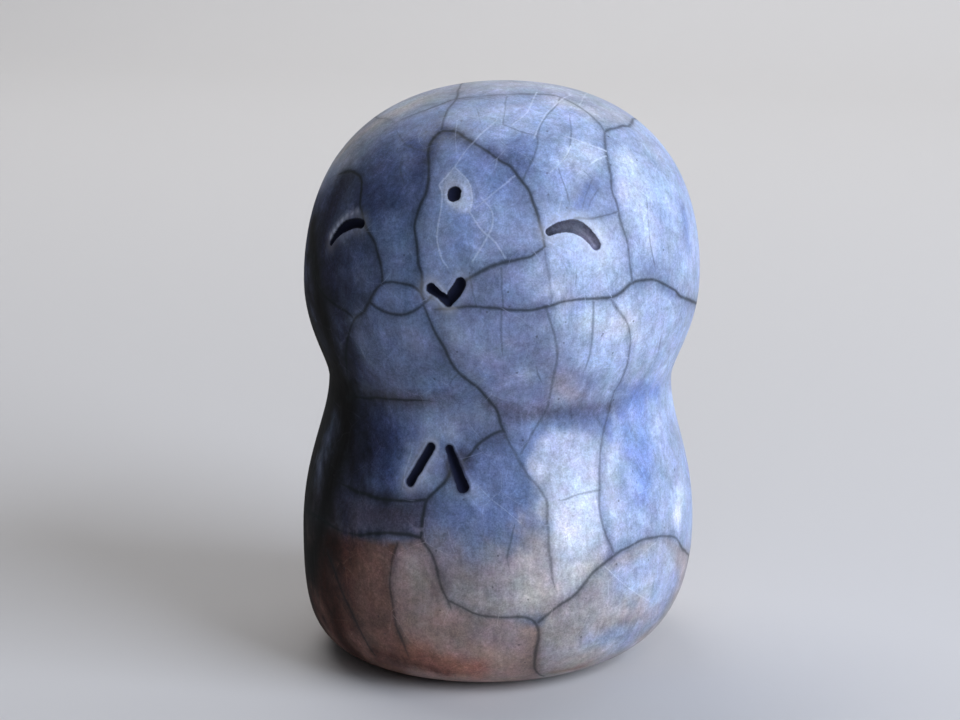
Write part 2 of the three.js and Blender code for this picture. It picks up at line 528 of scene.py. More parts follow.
@dataclass(frozen=True)
class Card:
    """A flat card held against the figure, on which a mark is drawn before it is pressed in.

    It is turned from the face and lifted, in degrees, about the axis at its height.
    """

    turn: float
    lift: float
    height: float

    def press(self, u: float, v: float, form: FigureForm, tree: BVHTree) -> Vector:
        """Presses a point of the card straight onto the skin.

        Args:
            u: metres to the right on the card.
            v: metres up on the card.
            form: the figure's form.
            tree: the skin to press it on.

        Returns:
            The point on the skin.
        """
        out = direction(self.turn, self.lift)
        turn = math.radians(self.turn)
        right = Vector((math.cos(turn), math.sin(turn), 0.0))
        up = out.cross(right)
        middle = Vector((float(form.sway(self.height)), 0.0, self.height))
        start = middle + right * u + up * v + out * form.crown
        return tree.ray_cast(start, -out)[0]


@dataclass(frozen=True)
class PressedMark:
    """A mark pressed into the soft clay with a round-ended stick. Sizes are in millimetres.

    The path gives places on the card, to the right and up, with the stroke's width at each. The smudge
    is where its soot ends, in half widths from the middle.
    """

    name: str
    card: Card
    path: Triples
    depth: float = 0.75
    soot: float = 1.0
    floor: Tone = Tone.SOOT_AND_SHADE
    floor_end: Tone = Tone.SOOT_AND_SHADE
    # A pale halo beside the mark, partly the clay's own and partly painted highlight where its lip would catch
    # the light.
    halo_and_highlight: float = 0.2
    halo_and_highlight_reach: float = 0.9
    lip: float = 0.035
    smudge: float = 1.12


@dataclass(frozen=True)
class Line:
    """A line in the skin, drawn through a few points. Sizes are in millimetres.

    The width is the half width of its dark core, the stain is how far the smoke crept from it, the
    fade is how much of its start and of its end thins out to nothing, and the ink is its strength.
    """

    name: str
    points: Pairs
    width: float = 0.3
    stain: float = 1.6
    fade: tuple[float, float] = (0.0, 0.0)
    plot: Plot = Plot.PICTURE
    ink: float = 1.0


@dataclass(frozen=True)
class Cell:
    """A cell of the crackle that took its own colour, by its outline.

    The edge is how far the colour fades at the outline, in millimetres.
    """

    tone: Tone
    outline: Pairs
    strength: float = 0.8
    edge: float = 0.5
    plot: Plot = Plot.PICTURE

    def cover(self, a: np.ndarray, b: np.ndarray, units: tuple[float, float]) -> np.ndarray:
        """How much of the cell's colour lies at points of its plot.

        Args:
            a: pixels across, or degrees round.
            b: pixels down, or millimetres up.
            units: how long one of each is on the figure, in metres.

        Returns:
            A share for each point.
        """
        across, down = a * units[0], b * units[1]
        corners = [(x * units[0], y * units[1]) for x, y in self.outline]
        inside = np.zeros(len(across), bool)
        nearest = np.full(len(across), np.inf)
        for (x0, y0), (x1, y1) in zip(corners, corners[1:] + corners[:1]):
            along_x, along_y = x1 - x0, y1 - y0
            t = ((across - x0) * along_x + (down - y0) * along_y) / (along_x ** 2 + along_y ** 2)
            t = np.clip(t, 0.0, 1.0)
            nearest = np.minimum(nearest, np.hypot(across - x0 - t * along_x, down - y0 - t * along_y))
            if along_y:
                crossed = ((y0 > down) != (y1 > down)) & (across < x0 + along_x * (down - y0) / along_y)
                inside ^= crossed
        depth = np.where(inside, nearest, -nearest) / (self.edge * MM)
        return self.strength * np.clip(0.5 + 0.5 * depth, 0.0, 1.0)


@dataclass(frozen=True)
class Dab:
    """A soft cloud of colour laid along a stroke. The reach is in millimetres."""

    tone: Tone
    points: Pairs
    reach: float
    strength: float
    plot: Plot = Plot.PICTURE


# The marks, with the sizes of the solids' own.
EYE_SPAN, EYE_POINTS = 6.2, 9
HAND_GAP, HAND_LENGTH, RIGHT_HAND_REACH, LEFT_HAND_REACH = 2.4, 4.4, 2.4, 2.1
FACE_HEIGHT, HANDS_HEIGHT = 50.0 * MM, 30.6 * MM


def tilted(path: Triples, tilt: float) -> Triples:
    """A stroke turned to the left on its card by so many degrees."""
    c, s = math.cos(math.radians(tilt)), math.sin(math.radians(tilt))
    return tuple((u * c - v * s, u * s + v * c, width) for u, v, width in path)


def eye_arc(arch: float, tilt: float, widths: tuple[float, float, float]) -> Triples:
    """The closed lid of an eye on its card.

    Args:
        arch: how high it arches, in millimetres.
        tilt: how far it is turned to the left, in degrees.
        widths: the stroke's width at its start, its middle and its end.

    Returns:
        The stroke's places and widths.
    """
    arc = [(EYE_SPAN * (t - 0.5), 4.0 * arch * t * (1.0 - t), float(np.interp(t, (0.0, 0.5, 1.0), widths)))
           for t in np.linspace(0.0, 1.0, EYE_POINTS)]
    return tilted(tuple(arc), tilt)


HAND_TOP, HAND_FOOT = HAND_LENGTH / 2, -HAND_LENGTH / 2
# Beside each mark lies a pale halo, partly painted highlight where its lip would catch the light.
MARKS = (
    PressedMark("brow", Card(0.0, 33.0, FACE_HEIGHT), ((0.0, -0.2, 1.6), (0.0, 0.2, 1.65)), 0.4, halo_and_highlight=0.2,
        halo_and_highlight_reach=0.7),
    PressedMark("right_eye", Card(-37.0, 19.0, FACE_HEIGHT), eye_arc(0.8, 31.0, (0.75, 1.5, 1.2)),
        halo_and_highlight=0.12),
    PressedMark("left_eye", Card(35.6, 20.8, FACE_HEIGHT), eye_arc(1.4, -19.0, (1.0, 1.8, 1.3)), 0.45,
        soot=0.1, floor=Tone.IRON, floor_end=Tone.PEWTER, halo_and_highlight=0.3, halo_and_highlight_reach=1.1),
    PressedMark("mouth_right", Card(0.0, 6.3, FACE_HEIGHT),
        tilted(((-1.9, 0.9, 1.35), (-1.1, 0.15, 1.0), (0.0, -0.9, 1.4)), 10.0), halo_and_highlight=0.3),
    PressedMark("mouth_left", Card(0.0, 6.3, FACE_HEIGHT),
        tilted(((1.85, 1.1, 1.4), (1.15, 0.2, 1.5), (0.0, -0.9, 1.4)), 10.0), halo_and_highlight=0.12),
    PressedMark("right_hand", Card(-3.7, 0.0, HANDS_HEIGHT), ((-HAND_GAP / 2, HAND_TOP, 1.15),
        (-HAND_GAP / 2 - RIGHT_HAND_REACH, HAND_FOOT, 1.2)), 0.6, halo_and_highlight=0.3, smudge=1.35),
    PressedMark("left_hand", Card(-3.7, 0.0, HANDS_HEIGHT), ((HAND_GAP / 2, HAND_TOP, 1.0),
        (HAND_GAP / 2 + LEFT_HAND_REACH, HAND_FOOT, 1.5)), 0.6, halo_and_highlight=0.06, smudge=1.6),
)

# The dark lines that the smoke drew where the slip had split.
SMOKE_LINES = (
    Line("brow left", ((441, 131), (433, 139), (429, 150), (429, 170), (427, 185), (424, 197), (417, 212),
        (414, 225), (415, 240), (418, 262), (422, 275), (421, 292), (424, 302)), 0.20, 2.2),
    Line("brow right", ((441, 131), (455, 132), (470, 140), (485, 149), (500, 160), (510, 167), (520, 178),
        (528, 190), (534, 205), (539, 220), (543, 232), (545, 247)), 0.18, 1.8),
    Line("cheek seam", ((545, 247), (546, 262), (549, 280), (551, 296), (549, 305)), 0.14, 1.1, ink=0.35),
    Line("parting", ((441, 131), (443, 120), (447, 110), (455, 100), (458, 90), (462, 83)), 0.14, 1.2,
        ink=0.7),
    Line("crown", ((395, 122), (425, 110), (455, 99), (480, 96), (510, 94), (540, 94), (560, 97),
        (580, 107), (597, 121), (605, 132)), 0.16, 1.6, (4.0, 0.0), ink=0.6),
    Line("right lid", ((338, 174), (352, 171), (360, 177), (361, 190), (360, 205), (363, 217), (368, 231),
        (375, 244), (379, 258), (381, 270), (382, 283)), 0.19, 2.0, (2.0, 0.0)),
    Line("oval top", ((369, 303), (374, 292), (382, 284), (395, 282), (410, 285), (420, 293), (424, 302)),
        0.17, 1.3),
    Line("oval foot", ((369, 303), (378, 309), (390, 314), (402, 315), (413, 312), (423, 305), (431, 298)),
        0.17, 1.3),
    Line("right cheek", ((369, 303), (363, 312), (355, 319), (350, 327), (347, 342), (346, 362),
        (347, 385)), 0.20, 1.8, (0.0, 3.0)),
    Line("right ear", ((352, 317), (345, 311), (335, 304), (325, 297), (318, 286), (314, 272), (313, 255)),
        0.18, 1.8),
    Line("chin", ((423, 306), (430, 322), (437, 336), (445, 350), (452, 365), (460, 374), (470, 382),
        (480, 390), (490, 402), (497, 412), (501, 425), (505, 433)), 0.17, 1.5),
    Line("chalk edge", ((505, 433), (512, 448), (521, 463), (530, 477), (539, 488), (546, 502), (548, 526),
        (549, 545), (551, 572), (556, 592)), 0.18, 1.2, (0.0, 2.5), ink=0.55),
    Line("sleeve", ((504, 431), (492, 435), (480, 443), (470, 454), (463, 461)), 0.18, 1.5),
    Line("cuff", ((452, 470), (446, 480), (436, 491), (427, 500), (424, 511), (422, 525), (420, 538)), 0.19,
        1.5),
    Line("right sleeve", ((340, 483), (357, 491), (375, 498), (395, 501), (412, 501), (427, 500)), 0.20,
        2.0, (3.0, 0.0)),
    Line("belt", ((345, 533), (362, 535), (380, 533), (400, 534), (420, 538)), 0.20, 2.0, (3.0, 0.0)),
    Line("collar", ((345, 397), (370, 398), (400, 400), (432, 401)), 0.18, 1.8, (2.0, 4.0)),
    Line("right hem", ((397, 543), (392, 560), (390, 580), (391, 600), (395, 622), (401, 640), (409, 657)),
        0.17, 1.7, (0.0, 2.0), ink=0.75),
    Line("middle hem", ((420, 538), (430, 552), (435, 564), (438, 577), (441, 588), (447, 600), (452, 612)),
        0.17, 1.7, (0.0, 1.5), ink=0.8),
    Line("hem", ((447, 600), (460, 606), (476, 613), (490, 617), (505, 618), (522, 617), (532, 620),
        (538, 628), (539, 638), (536, 652), (535, 670), (536, 682)), 0.17, 1.7, ink=0.85),
    Line("left hem", ((538, 622), (550, 613), (562, 604), (577, 592), (590, 577), (602, 565), (614, 556),
        (626, 549), (639, 541), (655, 537), (667, 536), (676, 539), (683, 549), (689, 556)), 0.18, 1.8,
        ink=0.85),
    Line("left side", ((611, 298), (618, 310), (626, 321), (630, 334), (630, 352), (627, 366), (621, 381),
        (614, 393), (610, 408), (606, 424), (602, 442), (600, 458), (599, 476), (600, 496), (600, 514),
        (605, 535), (611, 547), (614, 556)), 0.15, 1.1, ink=0.6),
    Line("lips", ((431, 309), (455, 308), (470, 307), (490, 308), (505, 310), (520, 311), (535, 310),
        (549, 306), (563, 302), (582, 299), (600, 298), (612, 297), (622, 292), (630, 285), (641, 280),
        (655, 280), (665, 284), (675, 290), (685, 299), (697, 306)), 0.18, 1.6, (1.0, 0.0)),
    Line("smile", ((463, 281), (475, 275), (490, 267), (505, 262), (520, 259), (530, 257), (538, 252),
        (545, 247)), 0.19, 1.5),
    Line("left temple", ((605, 132), (605, 145), (607, 158), (610, 172), (613, 190), (617, 205), (621, 222),
        (627, 240), (629, 255), (631, 270), (632, 283)), 0.17, 1.3, ink=0.72),
    Line("left crown", ((605, 132), (613, 128), (622, 126), (632, 123), (642, 121)), 0.17, 1.4, ink=0.8),
    Line("left lid", ((572, 219), (590, 218), (605, 215), (618, 211)), 0.11, 0.9, (1.0, 0.0), ink=0.7),
    Line("right flank", ((326, 547), (335, 574), (347, 604), (362, 634), (377, 658)), 0.17, 2.0, (2.0, 1.0),
        ink=0.8),
    # Round the back, from line ends that the front shows.
    Line("nape", ((109.5, 45.5), (118, 43.5), (132, 44), (150, 48), (168, 46), (186, 41), (200, 38),
        (215, 38), (232, 42), (248, 50), (265, 54), (289, 53.4), (305.1, 54.4)), 0.20, 1.7,
        plot=Plot.ROUND),
    Line("back of head", ((150, 48), (147, 55), (152, 62), (166, 68), (188, 71.8), (210, 73.6),
        (255.7, 74.5)), 0.20, 1.8, plot=Plot.ROUND),
    Line("spine", ((186, 41), (184, 34), (176, 28), (172, 20), (177, 12), (171, 5), (173, 1)), 0.22, 1.9,
        plot=Plot.ROUND),
    Line("back hem", ((93.7, 13.3), (103, 14.5), (112, 17), (125, 20), (140, 22), (158, 20), (172, 20)),
        0.20, 1.8, plot=Plot.ROUND),
    Line("right shoulder", ((232, 42), (237, 33), (230, 24), (238, 15), (232, 7), (235, 2)), 0.22, 2.0,
        plot=Plot.ROUND),
    Line("right back of head", ((248, 50), (243, 58), (250, 65), (268, 69.5), (292, 70.8), (314.7, 71.1)),
        0.17, 1.8, (0.0, 14.0), plot=Plot.ROUND, ink=0.7),
    Line("right back hem", ((238, 15), (256, 17), (275, 22), (297, 20), (312, 20.6), (326.2, 20.3)), 0.20,
        2.0, (0.0, 4.0), plot=Plot.ROUND),
    Line("left back of head", ((128.8, 68.3), (136, 65), (144, 62.5), (152, 62)), 0.18, 1.6,
        plot=Plot.ROUND),
    Line("left ear", ((128.8, 68.3), (118, 63), (111, 56), (108, 50), (109.5, 45.5)), 0.15, 1.4,
        plot=Plot.ROUND),
    Line("left shoulder", ((140, 22), (136, 30), (128, 36), (132, 44)), 0.19, 1.7, plot=Plot.ROUND),
    Line("right back foot", ((256, 17), (263, 10), (268, 3), (267, 0.8)), 0.20, 1.8, plot=Plot.ROUND),
    Line("left back foot", ((125, 20), (129, 12), (123, 5), (125, 1)), 0.19, 1.7, plot=Plot.ROUND),
    Line("right side", ((289, 53.4), (285, 43), (292, 35), (300, 28), (297, 20)), 0.20, 2.0,
        plot=Plot.ROUND),
)

# Hair cracks, thin and dark.
HAIR_LINES = (
    Line("chin", ((546, 308), (552, 326), (556, 342), (557, 358), (554, 375), (551, 392), (548, 407)),
        0.17),
    Line("jaw", ((594, 302), (593, 328), (590, 353), (581, 379)), 0.16, fade=(0.0, 3.0)),
    Line("under lip", ((501, 311), (501, 335), (502, 350), (503, 363)), 0.15, fade=(0.0, 3.0)),
    Line("lip", ((470, 277), (474, 296), (476, 307)), 0.14),
    Line("upper lip", ((501, 268), (502, 290), (503, 308)), 0.14),
    Line("cheek", ((577, 262), (575, 292)), 0.12, fade=(2.0, 2.0)),
    Line("far cheek", ((605, 268), (610, 288)), 0.12, fade=(2.0, 2.0)),
    Line("temple", ((644, 184), (650, 238), (657, 277)), 0.13, fade=(3.0, 2.0)),
    Line("far jaw", ((662, 332), (657, 360)), 0.13, fade=(1.0, 2.0)),
    Line("crown one", ((507, 96), (503, 124)), 0.12),
    Line("crown two", ((560, 98), (556, 106), (542, 122), (537, 137)), 0.12),
    Line("crown three", ((570, 112), (570, 147), (556, 168)), 0.11, fade=(1.0, 2.0)),
    Line("crown four", ((476, 105), (481, 126)), 0.1, fade=(1.0, 1.0)),
    Line("brow one", ((503, 124), (520, 131), (537, 137), (534, 155), (527, 170), (523, 180)), 0.13),
    Line("lid one", ((558, 168), (566, 190), (571, 208)), 0.11, fade=(0.0, 1.0)),
    Line("lid two", ((593, 174), (586, 196), (582, 213)), 0.11, fade=(1.0, 1.0)),
    Line("lid three", ((581, 168), (596, 183)), 0.1, fade=(0.5, 1.0)),
    Line("lid four", ((601, 185), (592, 200), (588, 212)), 0.1, fade=(1.0, 1.0)),
    Line("collar", ((548, 407), (540, 421), (531, 436), (521, 454)), 0.15),
    Line("belly", ((517, 518), (511, 540), (507, 558), (511, 572)), 0.15, fade=(2.0, 2.0)),
    Line("strap", ((557, 502), (575, 496), (590, 492), (600, 490)), 0.13, fade=(1.0, 0.0)),
    Line("side", ((677, 398), (686, 445), (690, 475)), 0.15, fade=(2.0, 2.0)),
    Line("left brow", ((395, 128), (404, 142), (415, 148), (428, 150)), 0.13, fade=(2.0, 0.0)),
    Line("left temple", ((404, 150), (400, 168), (406, 186)), 0.12, fade=(2.0, 2.0)),
    Line("neck one", ((447, 392), (452, 380), (458, 374)), 0.14, fade=(3.0, 0.0)),
    Line("neck two", ((535, 362), (538, 375), (545, 388)), 0.12, fade=(2.0, 2.0)),
    Line("back one", ((160, 47), (172, 56), (190, 60), (205, 66)), 0.15, fade=(0.0, 3.0), plot=Plot.ROUND),
    Line("back two", ((215, 38), (210, 48), (216, 58), (229, 59.5), (243, 58)), 0.15, plot=Plot.ROUND),
    Line("back three", ((132, 44), (125, 52), (130, 62)), 0.14, plot=Plot.ROUND),
    Line("back four", ((172, 20), (195, 22), (215, 18), (234, 20)), 0.15, plot=Plot.ROUND),
    Line("back five", ((200, 38), (207, 30), (203, 22)), 0.14, fade=(0.0, 2.0), plot=Plot.ROUND),
    Line("back six", ((150, 21), (152, 30), (160, 38), (168, 46)), 0.14, plot=Plot.ROUND),
    Line("back seven", ((263, 54), (270, 60), (268, 69)), 0.14, plot=Plot.ROUND),
    Line("back eight", ((115, 43), (112, 32), (118, 22), (114, 16)), 0.15, plot=Plot.ROUND),
)

# Pinholes that the smoke filled.
SPECKS = (
    (565, 433), (566, 453), (573, 503), (574, 509), (573, 516), (568, 508), (559, 500), (633, 471),
    (637, 482), (646, 487), (648, 505), (652, 517), (657, 514), (514, 404), (504, 424), (520, 398),
    (385, 634), (344, 568))
HAIR_LINES += tuple(Line("speck", (speck,), 0.13) for speck in SPECKS)

# Pale craze lines, where fine splits let no smoke in.
CRAZE_LINES = (
    Line("brow one", ((497, 120), (470, 145), (454, 167), (439, 185)), 0.12),
    Line("brow two", ((515, 176), (495, 192), (474, 209)), 0.11),
    Line("brow three", ((454, 167), (467, 180), (472, 197), (469, 212)), 0.11),
    Line("brow four", ((481, 197), (491, 210), (492, 225), (486, 238), (472, 262)), 0.11),
    Line("brow five", ((469, 212), (482, 230), (495, 242), (505, 258)), 0.11),
    Line("brow six", ((439, 185), (442, 194), (440, 212), (437, 240), (441, 258), (448, 268)), 0.11),
    Line("crown one", ((537, 92), (527, 112), (512, 125)), 0.1),
    Line("crown two", ((572, 94), (556, 104), (541, 121), (534, 138)), 0.1),
    Line("crown three", ((588, 93), (580, 105)), 0.1),
    Line("crown four", ((457, 120), (455, 137), (456, 152)), 0.09),
    Line("lid one", ((566, 136), (585, 143), (606, 151)), 0.12),
    Line("lid two", ((588, 166), (606, 156)), 0.1),
    Line("lid three", ((550, 172), (564, 158), (571, 146)), 0.1),
    Line("lid four", ((563, 195), (558, 213)), 0.08),
    Line("temple one", ((617, 160), (636, 168), (648, 182)), 0.09),
    Line("temple two", ((640, 190), (652, 202), (646, 214), (640, 232)), 0.09),
    Line("temple three", ((660, 150), (655, 176), (668, 200)), 0.07),
    Line("cheek one", ((560, 250), (566, 275), (562, 298)), 0.06),
    Line("cheek two", ((604, 256), (600, 280), (612, 297)), 0.06),
    Line("jaw one", ((590, 353), (612, 357), (630, 358)), 0.07),
    Line("jaw two", ((640, 302), (652, 316), (668, 318)), 0.06),
    Line("jaw three", ((650, 380), (662, 350), (676, 330)), 0.06),
    Line("chin one", ((455, 310), (470, 322), (476, 340)), 0.06),
    Line("chin two", ((520, 335), (528, 350), (522, 365)), 0.06),
    Line("chest", ((460, 405), (466, 420), (480, 438)), 0.06),
    Line("belly one", ((478, 486), (492, 500), (508, 512), (522, 524)), 0.07),
    Line("belly two", ((448, 530), (452, 545), (458, 560)), 0.06),
    Line("hem one", ((605, 567), (626, 586), (650, 602)), 0.07),
    Line("hem two", ((654, 572), (648, 602)), 0.06),
    Line("hem three", ((570, 640), (582, 628), (590, 612)), 0.06),
    Line("side one", ((634, 455), (645, 478), (652, 500)), 0.06),
    Line("right cheek", ((392, 330), (400, 350), (396, 372)), 0.06),
    Line("hand", ((411, 452), (405, 472), (402, 490)), 0.08),
)

# The cells that took a colour of their own.
CELLS = (
    # The sides and the back.
    Cell(Tone.MIST, ((109.5, 45.5), (118, 43.5), (132, 44), (150, 48), (147, 55), (152, 62), (144, 62.5),
        (128.8, 68.3), (118, 63), (111, 56)), plot=Plot.ROUND),
    Cell(Tone.HAZE, ((150, 48), (168, 46), (186, 41), (200, 38), (215, 38), (232, 42), (248, 50), (243, 58),
        (250, 65), (262, 75), (190, 75), (166, 68), (152, 62), (147, 55)), plot=Plot.ROUND),
    Cell(Tone.SLATE, ((248, 50), (265, 54), (289, 53.4), (305, 54.4), (310, 66), (292, 70.8), (268, 69.5),
        (250, 65), (243, 58)), plot=Plot.ROUND),
    Cell(Tone.MIST, ((88, 46), (109.5, 45.5), (118, 43.5), (132, 44), (128, 36), (136, 30), (140, 22),
        (125, 20), (112, 17), (93.7, 13.3), (86, 20)), plot=Plot.ROUND),
    Cell(Tone.POWDER, ((132, 44), (150, 48), (168, 46), (186, 41), (184, 34), (176, 28), (172, 20),
        (158, 20), (140, 22), (136, 30), (128, 36)), plot=Plot.ROUND),
    Cell(Tone.PERIWINKLE, ((186, 41), (200, 38), (215, 38), (232, 42), (237, 33), (230, 24), (234, 20),
        (215, 18), (195, 22), (172, 20), (176, 28), (184, 34)), plot=Plot.ROUND),
    Cell(Tone.STORM, ((232, 42), (248, 50), (265, 54), (289, 53.4), (285, 43), (292, 35), (300, 28),
        (297, 20), (275, 22), (256, 17), (238, 15), (230, 24), (237, 33)), plot=Plot.ROUND),
    Cell(Tone.SAND, ((93.7, 13.3), (112, 17), (125, 20), (129, 12), (123, 5), (125, -2), (80, -2)),
        plot=Plot.ROUND),
    Cell(Tone.MAUVE, ((125, 20), (140, 22), (158, 20), (172, 20), (177, 12), (171, 5), (173, -2), (125, -2),
        (123, 5), (129, 12)), plot=Plot.ROUND),
    Cell(Tone.ROSE, ((172, 20), (195, 22), (215, 18), (234, 20), (238, 15), (232, 7), (235, -2), (173, -2),
        (171, 5), (177, 12)), plot=Plot.ROUND),
    Cell(Tone.UMBER, ((238, 15), (256, 17), (275, 22), (297, 20), (335, 20), (345, -2), (235, -2),
        (232, 7)), 0.9, plot=Plot.ROUND),
    # The head.
    # A band of painted sheen across the crown, where it would reflect the light from above.
    Cell(Tone.PAINTED_SHEEN, ((360, 140), (425, 109), (455, 98), (480, 95), (540, 93), (580, 106), (605, 131),
        (645, 121), (600, 90), (540, 72), (470, 72), (400, 95)), edge=1.0),
    Cell(Tone.HAZE, ((441, 131), (455, 132), (485, 149), (510, 167), (528, 190), (539, 220), (545, 247),
        (530, 257), (490, 267), (463, 281), (447, 303), (428, 290), (418, 262), (414, 225), (424, 197),
        (429, 150)), 0.55),
    Cell(Tone.SLATE, ((360, 177), (378, 145), (410, 122), (443, 112), (441, 131), (429, 150), (424, 197),
        (414, 225), (418, 262), (422, 292), (395, 282), (382, 284), (379, 258), (368, 231), (361, 205)),
        0.9),
    Cell(Tone.STORM, ((338, 174), (352, 171), (360, 177), (361, 205), (368, 231), (379, 258), (382, 283),
        (369, 303), (352, 317), (320, 325), (295, 290), (295, 215)), 0.9),
    Cell(Tone.SLATE, ((369, 303), (382, 284), (395, 282), (410, 285), (424, 302), (402, 315), (378, 309)),
        0.7),
    Cell(Tone.MIST, ((441, 131), (447, 110), (480, 96), (540, 94), (580, 107), (605, 132), (618, 211),
        (572, 219), (541, 222), (528, 190), (510, 167), (485, 149)), 0.5),
    Cell(Tone.MIST, ((545, 247), (541, 226), (572, 219), (605, 215), (618, 211), (627, 240), (632, 283),
        (600, 298), (549, 306), (551, 296)), 0.95),
    Cell(Tone.MIST, ((605, 132), (642, 115), (690, 160), (712, 210), (712, 300), (697, 306), (665, 284),
        (641, 280), (632, 283), (629, 255), (621, 222), (607, 158)), 0.95),
    Cell(Tone.LILAC, ((463, 281), (490, 267), (530, 257), (545, 247), (551, 296), (549, 306), (520, 311),
        (455, 308))),
    Cell(Tone.LILAC, ((423, 306), (455, 308), (520, 311), (546, 308), (556, 342), (551, 392), (548, 415),
        (505, 430), (490, 402), (470, 382), (452, 365), (437, 336)), 0.85),
    Cell(Tone.MIST, ((549, 306), (612, 297), (626, 321), (630, 352), (621, 381), (606, 402), (552, 402),
        (557, 358)), 0.9, 0.8),
    Cell(Tone.MIST, ((612, 297), (630, 285), (655, 280), (697, 306), (705, 340), (680, 380), (640, 395),
        (621, 381), (630, 352), (626, 321)), 0.9),
    Cell(Tone.SLATE, ((369, 303), (390, 314), (423, 306), (437, 336), (452, 365), (470, 382), (440, 398),
        (320, 397), (310, 320), (352, 317)), 0.85),
    # The body.
    Cell(Tone.SLATE, ((345, 397), (432, 401), (470, 382), (490, 402), (504, 431), (480, 443), (463, 461),
        (446, 480), (427, 500), (375, 498), (300, 483), (310, 410)), 0.8),
    Cell(Tone.CHALK, ((536, 440), (552, 430), (575, 430), (603, 436), (600, 450), (599, 480), (600, 515),
        (607, 545), (592, 574), (562, 598), (550, 575), (545, 545), (543, 505), (534, 488), (524, 470),
        (526, 455)), 0.97),
    Cell(Tone.MIST, ((614, 393), (680, 375), (705, 450), (705, 530), (689, 556), (667, 536), (639, 541),
        (614, 556), (600, 514), (600, 458), (606, 424)), 0.95),
    Cell(Tone.SAND, ((538, 622), (577, 592), (614, 556), (639, 541), (667, 536), (700, 556), (690, 620),
        (655, 660), (600, 685), (536, 695), (539, 638)), 0.8),
    Cell(Tone.SLATE, ((424, 511), (446, 480), (463, 461), (480, 443), (504, 431), (521, 463), (539, 488),
        (548, 526), (551, 572), (556, 592), (538, 622), (490, 617), (447, 600), (438, 577), (420, 538)),
        0.85, 0.8),
    Cell(Tone.ROSE, ((397, 543), (420, 538), (435, 564), (447, 600), (476, 613), (538, 628), (536, 700),
        (470, 705), (400, 695), (409, 657), (395, 622), (390, 580)), 0.9),
    Cell(Tone.UMBER, ((300, 533), (397, 543), (390, 580), (395, 622), (409, 657), (405, 695), (340, 690),
        (295, 600)), 0.95),
    Cell(Tone.DUSK, ((300, 483), (375, 498), (427, 500), (420, 538), (380, 533), (300, 533)), 0.85, 1.6),
    # Flakes within the cells, with crisp edges.
    Cell(Tone.CHALK, ((454, 167), (463, 176), (470, 188), (473, 201), (468, 213), (457, 212), (446, 203),
        (439, 188), (445, 174)), 0.6, 0.3),
    Cell(Tone.SLATE, ((507, 140), (520, 132), (537, 138), (534, 155), (526, 172), (516, 166), (504, 155)),
        0.65, 0.3),
    Cell(Tone.IRIS, ((590, 172), (600, 179), (596, 195), (587, 210), (576, 207), (582, 190)), 0.4, 0.3),
    Cell(Tone.CHALK, ((572, 138), (605, 149), (606, 159), (590, 170), (573, 171), (561, 160)), 0.5, 0.35),
    Cell(Tone.CHALK, ((612, 150), (628, 146), (640, 166), (634, 190), (626, 214), (617, 190)), 0.45, 0.35),
    Cell(Tone.POWDER, ((606, 570), (640, 555), (672, 556), (680, 585), (650, 602), (628, 588)), 0.5, 0.35),
    Cell(Tone.POWDER, ((596, 640), (612, 622), (626, 628), (640, 620), (634, 646), (606, 654)), 0.45, 0.35),
    Cell(Tone.COBALT, ((446, 214), (468, 214), (482, 231), (466, 250), (444, 256), (440, 232)), 0.35, 0.3),
    Cell(Tone.POWDER, ((640, 400), (662, 395), (668, 430), (655, 448), (646, 425)), 0.3, 0.4),
)

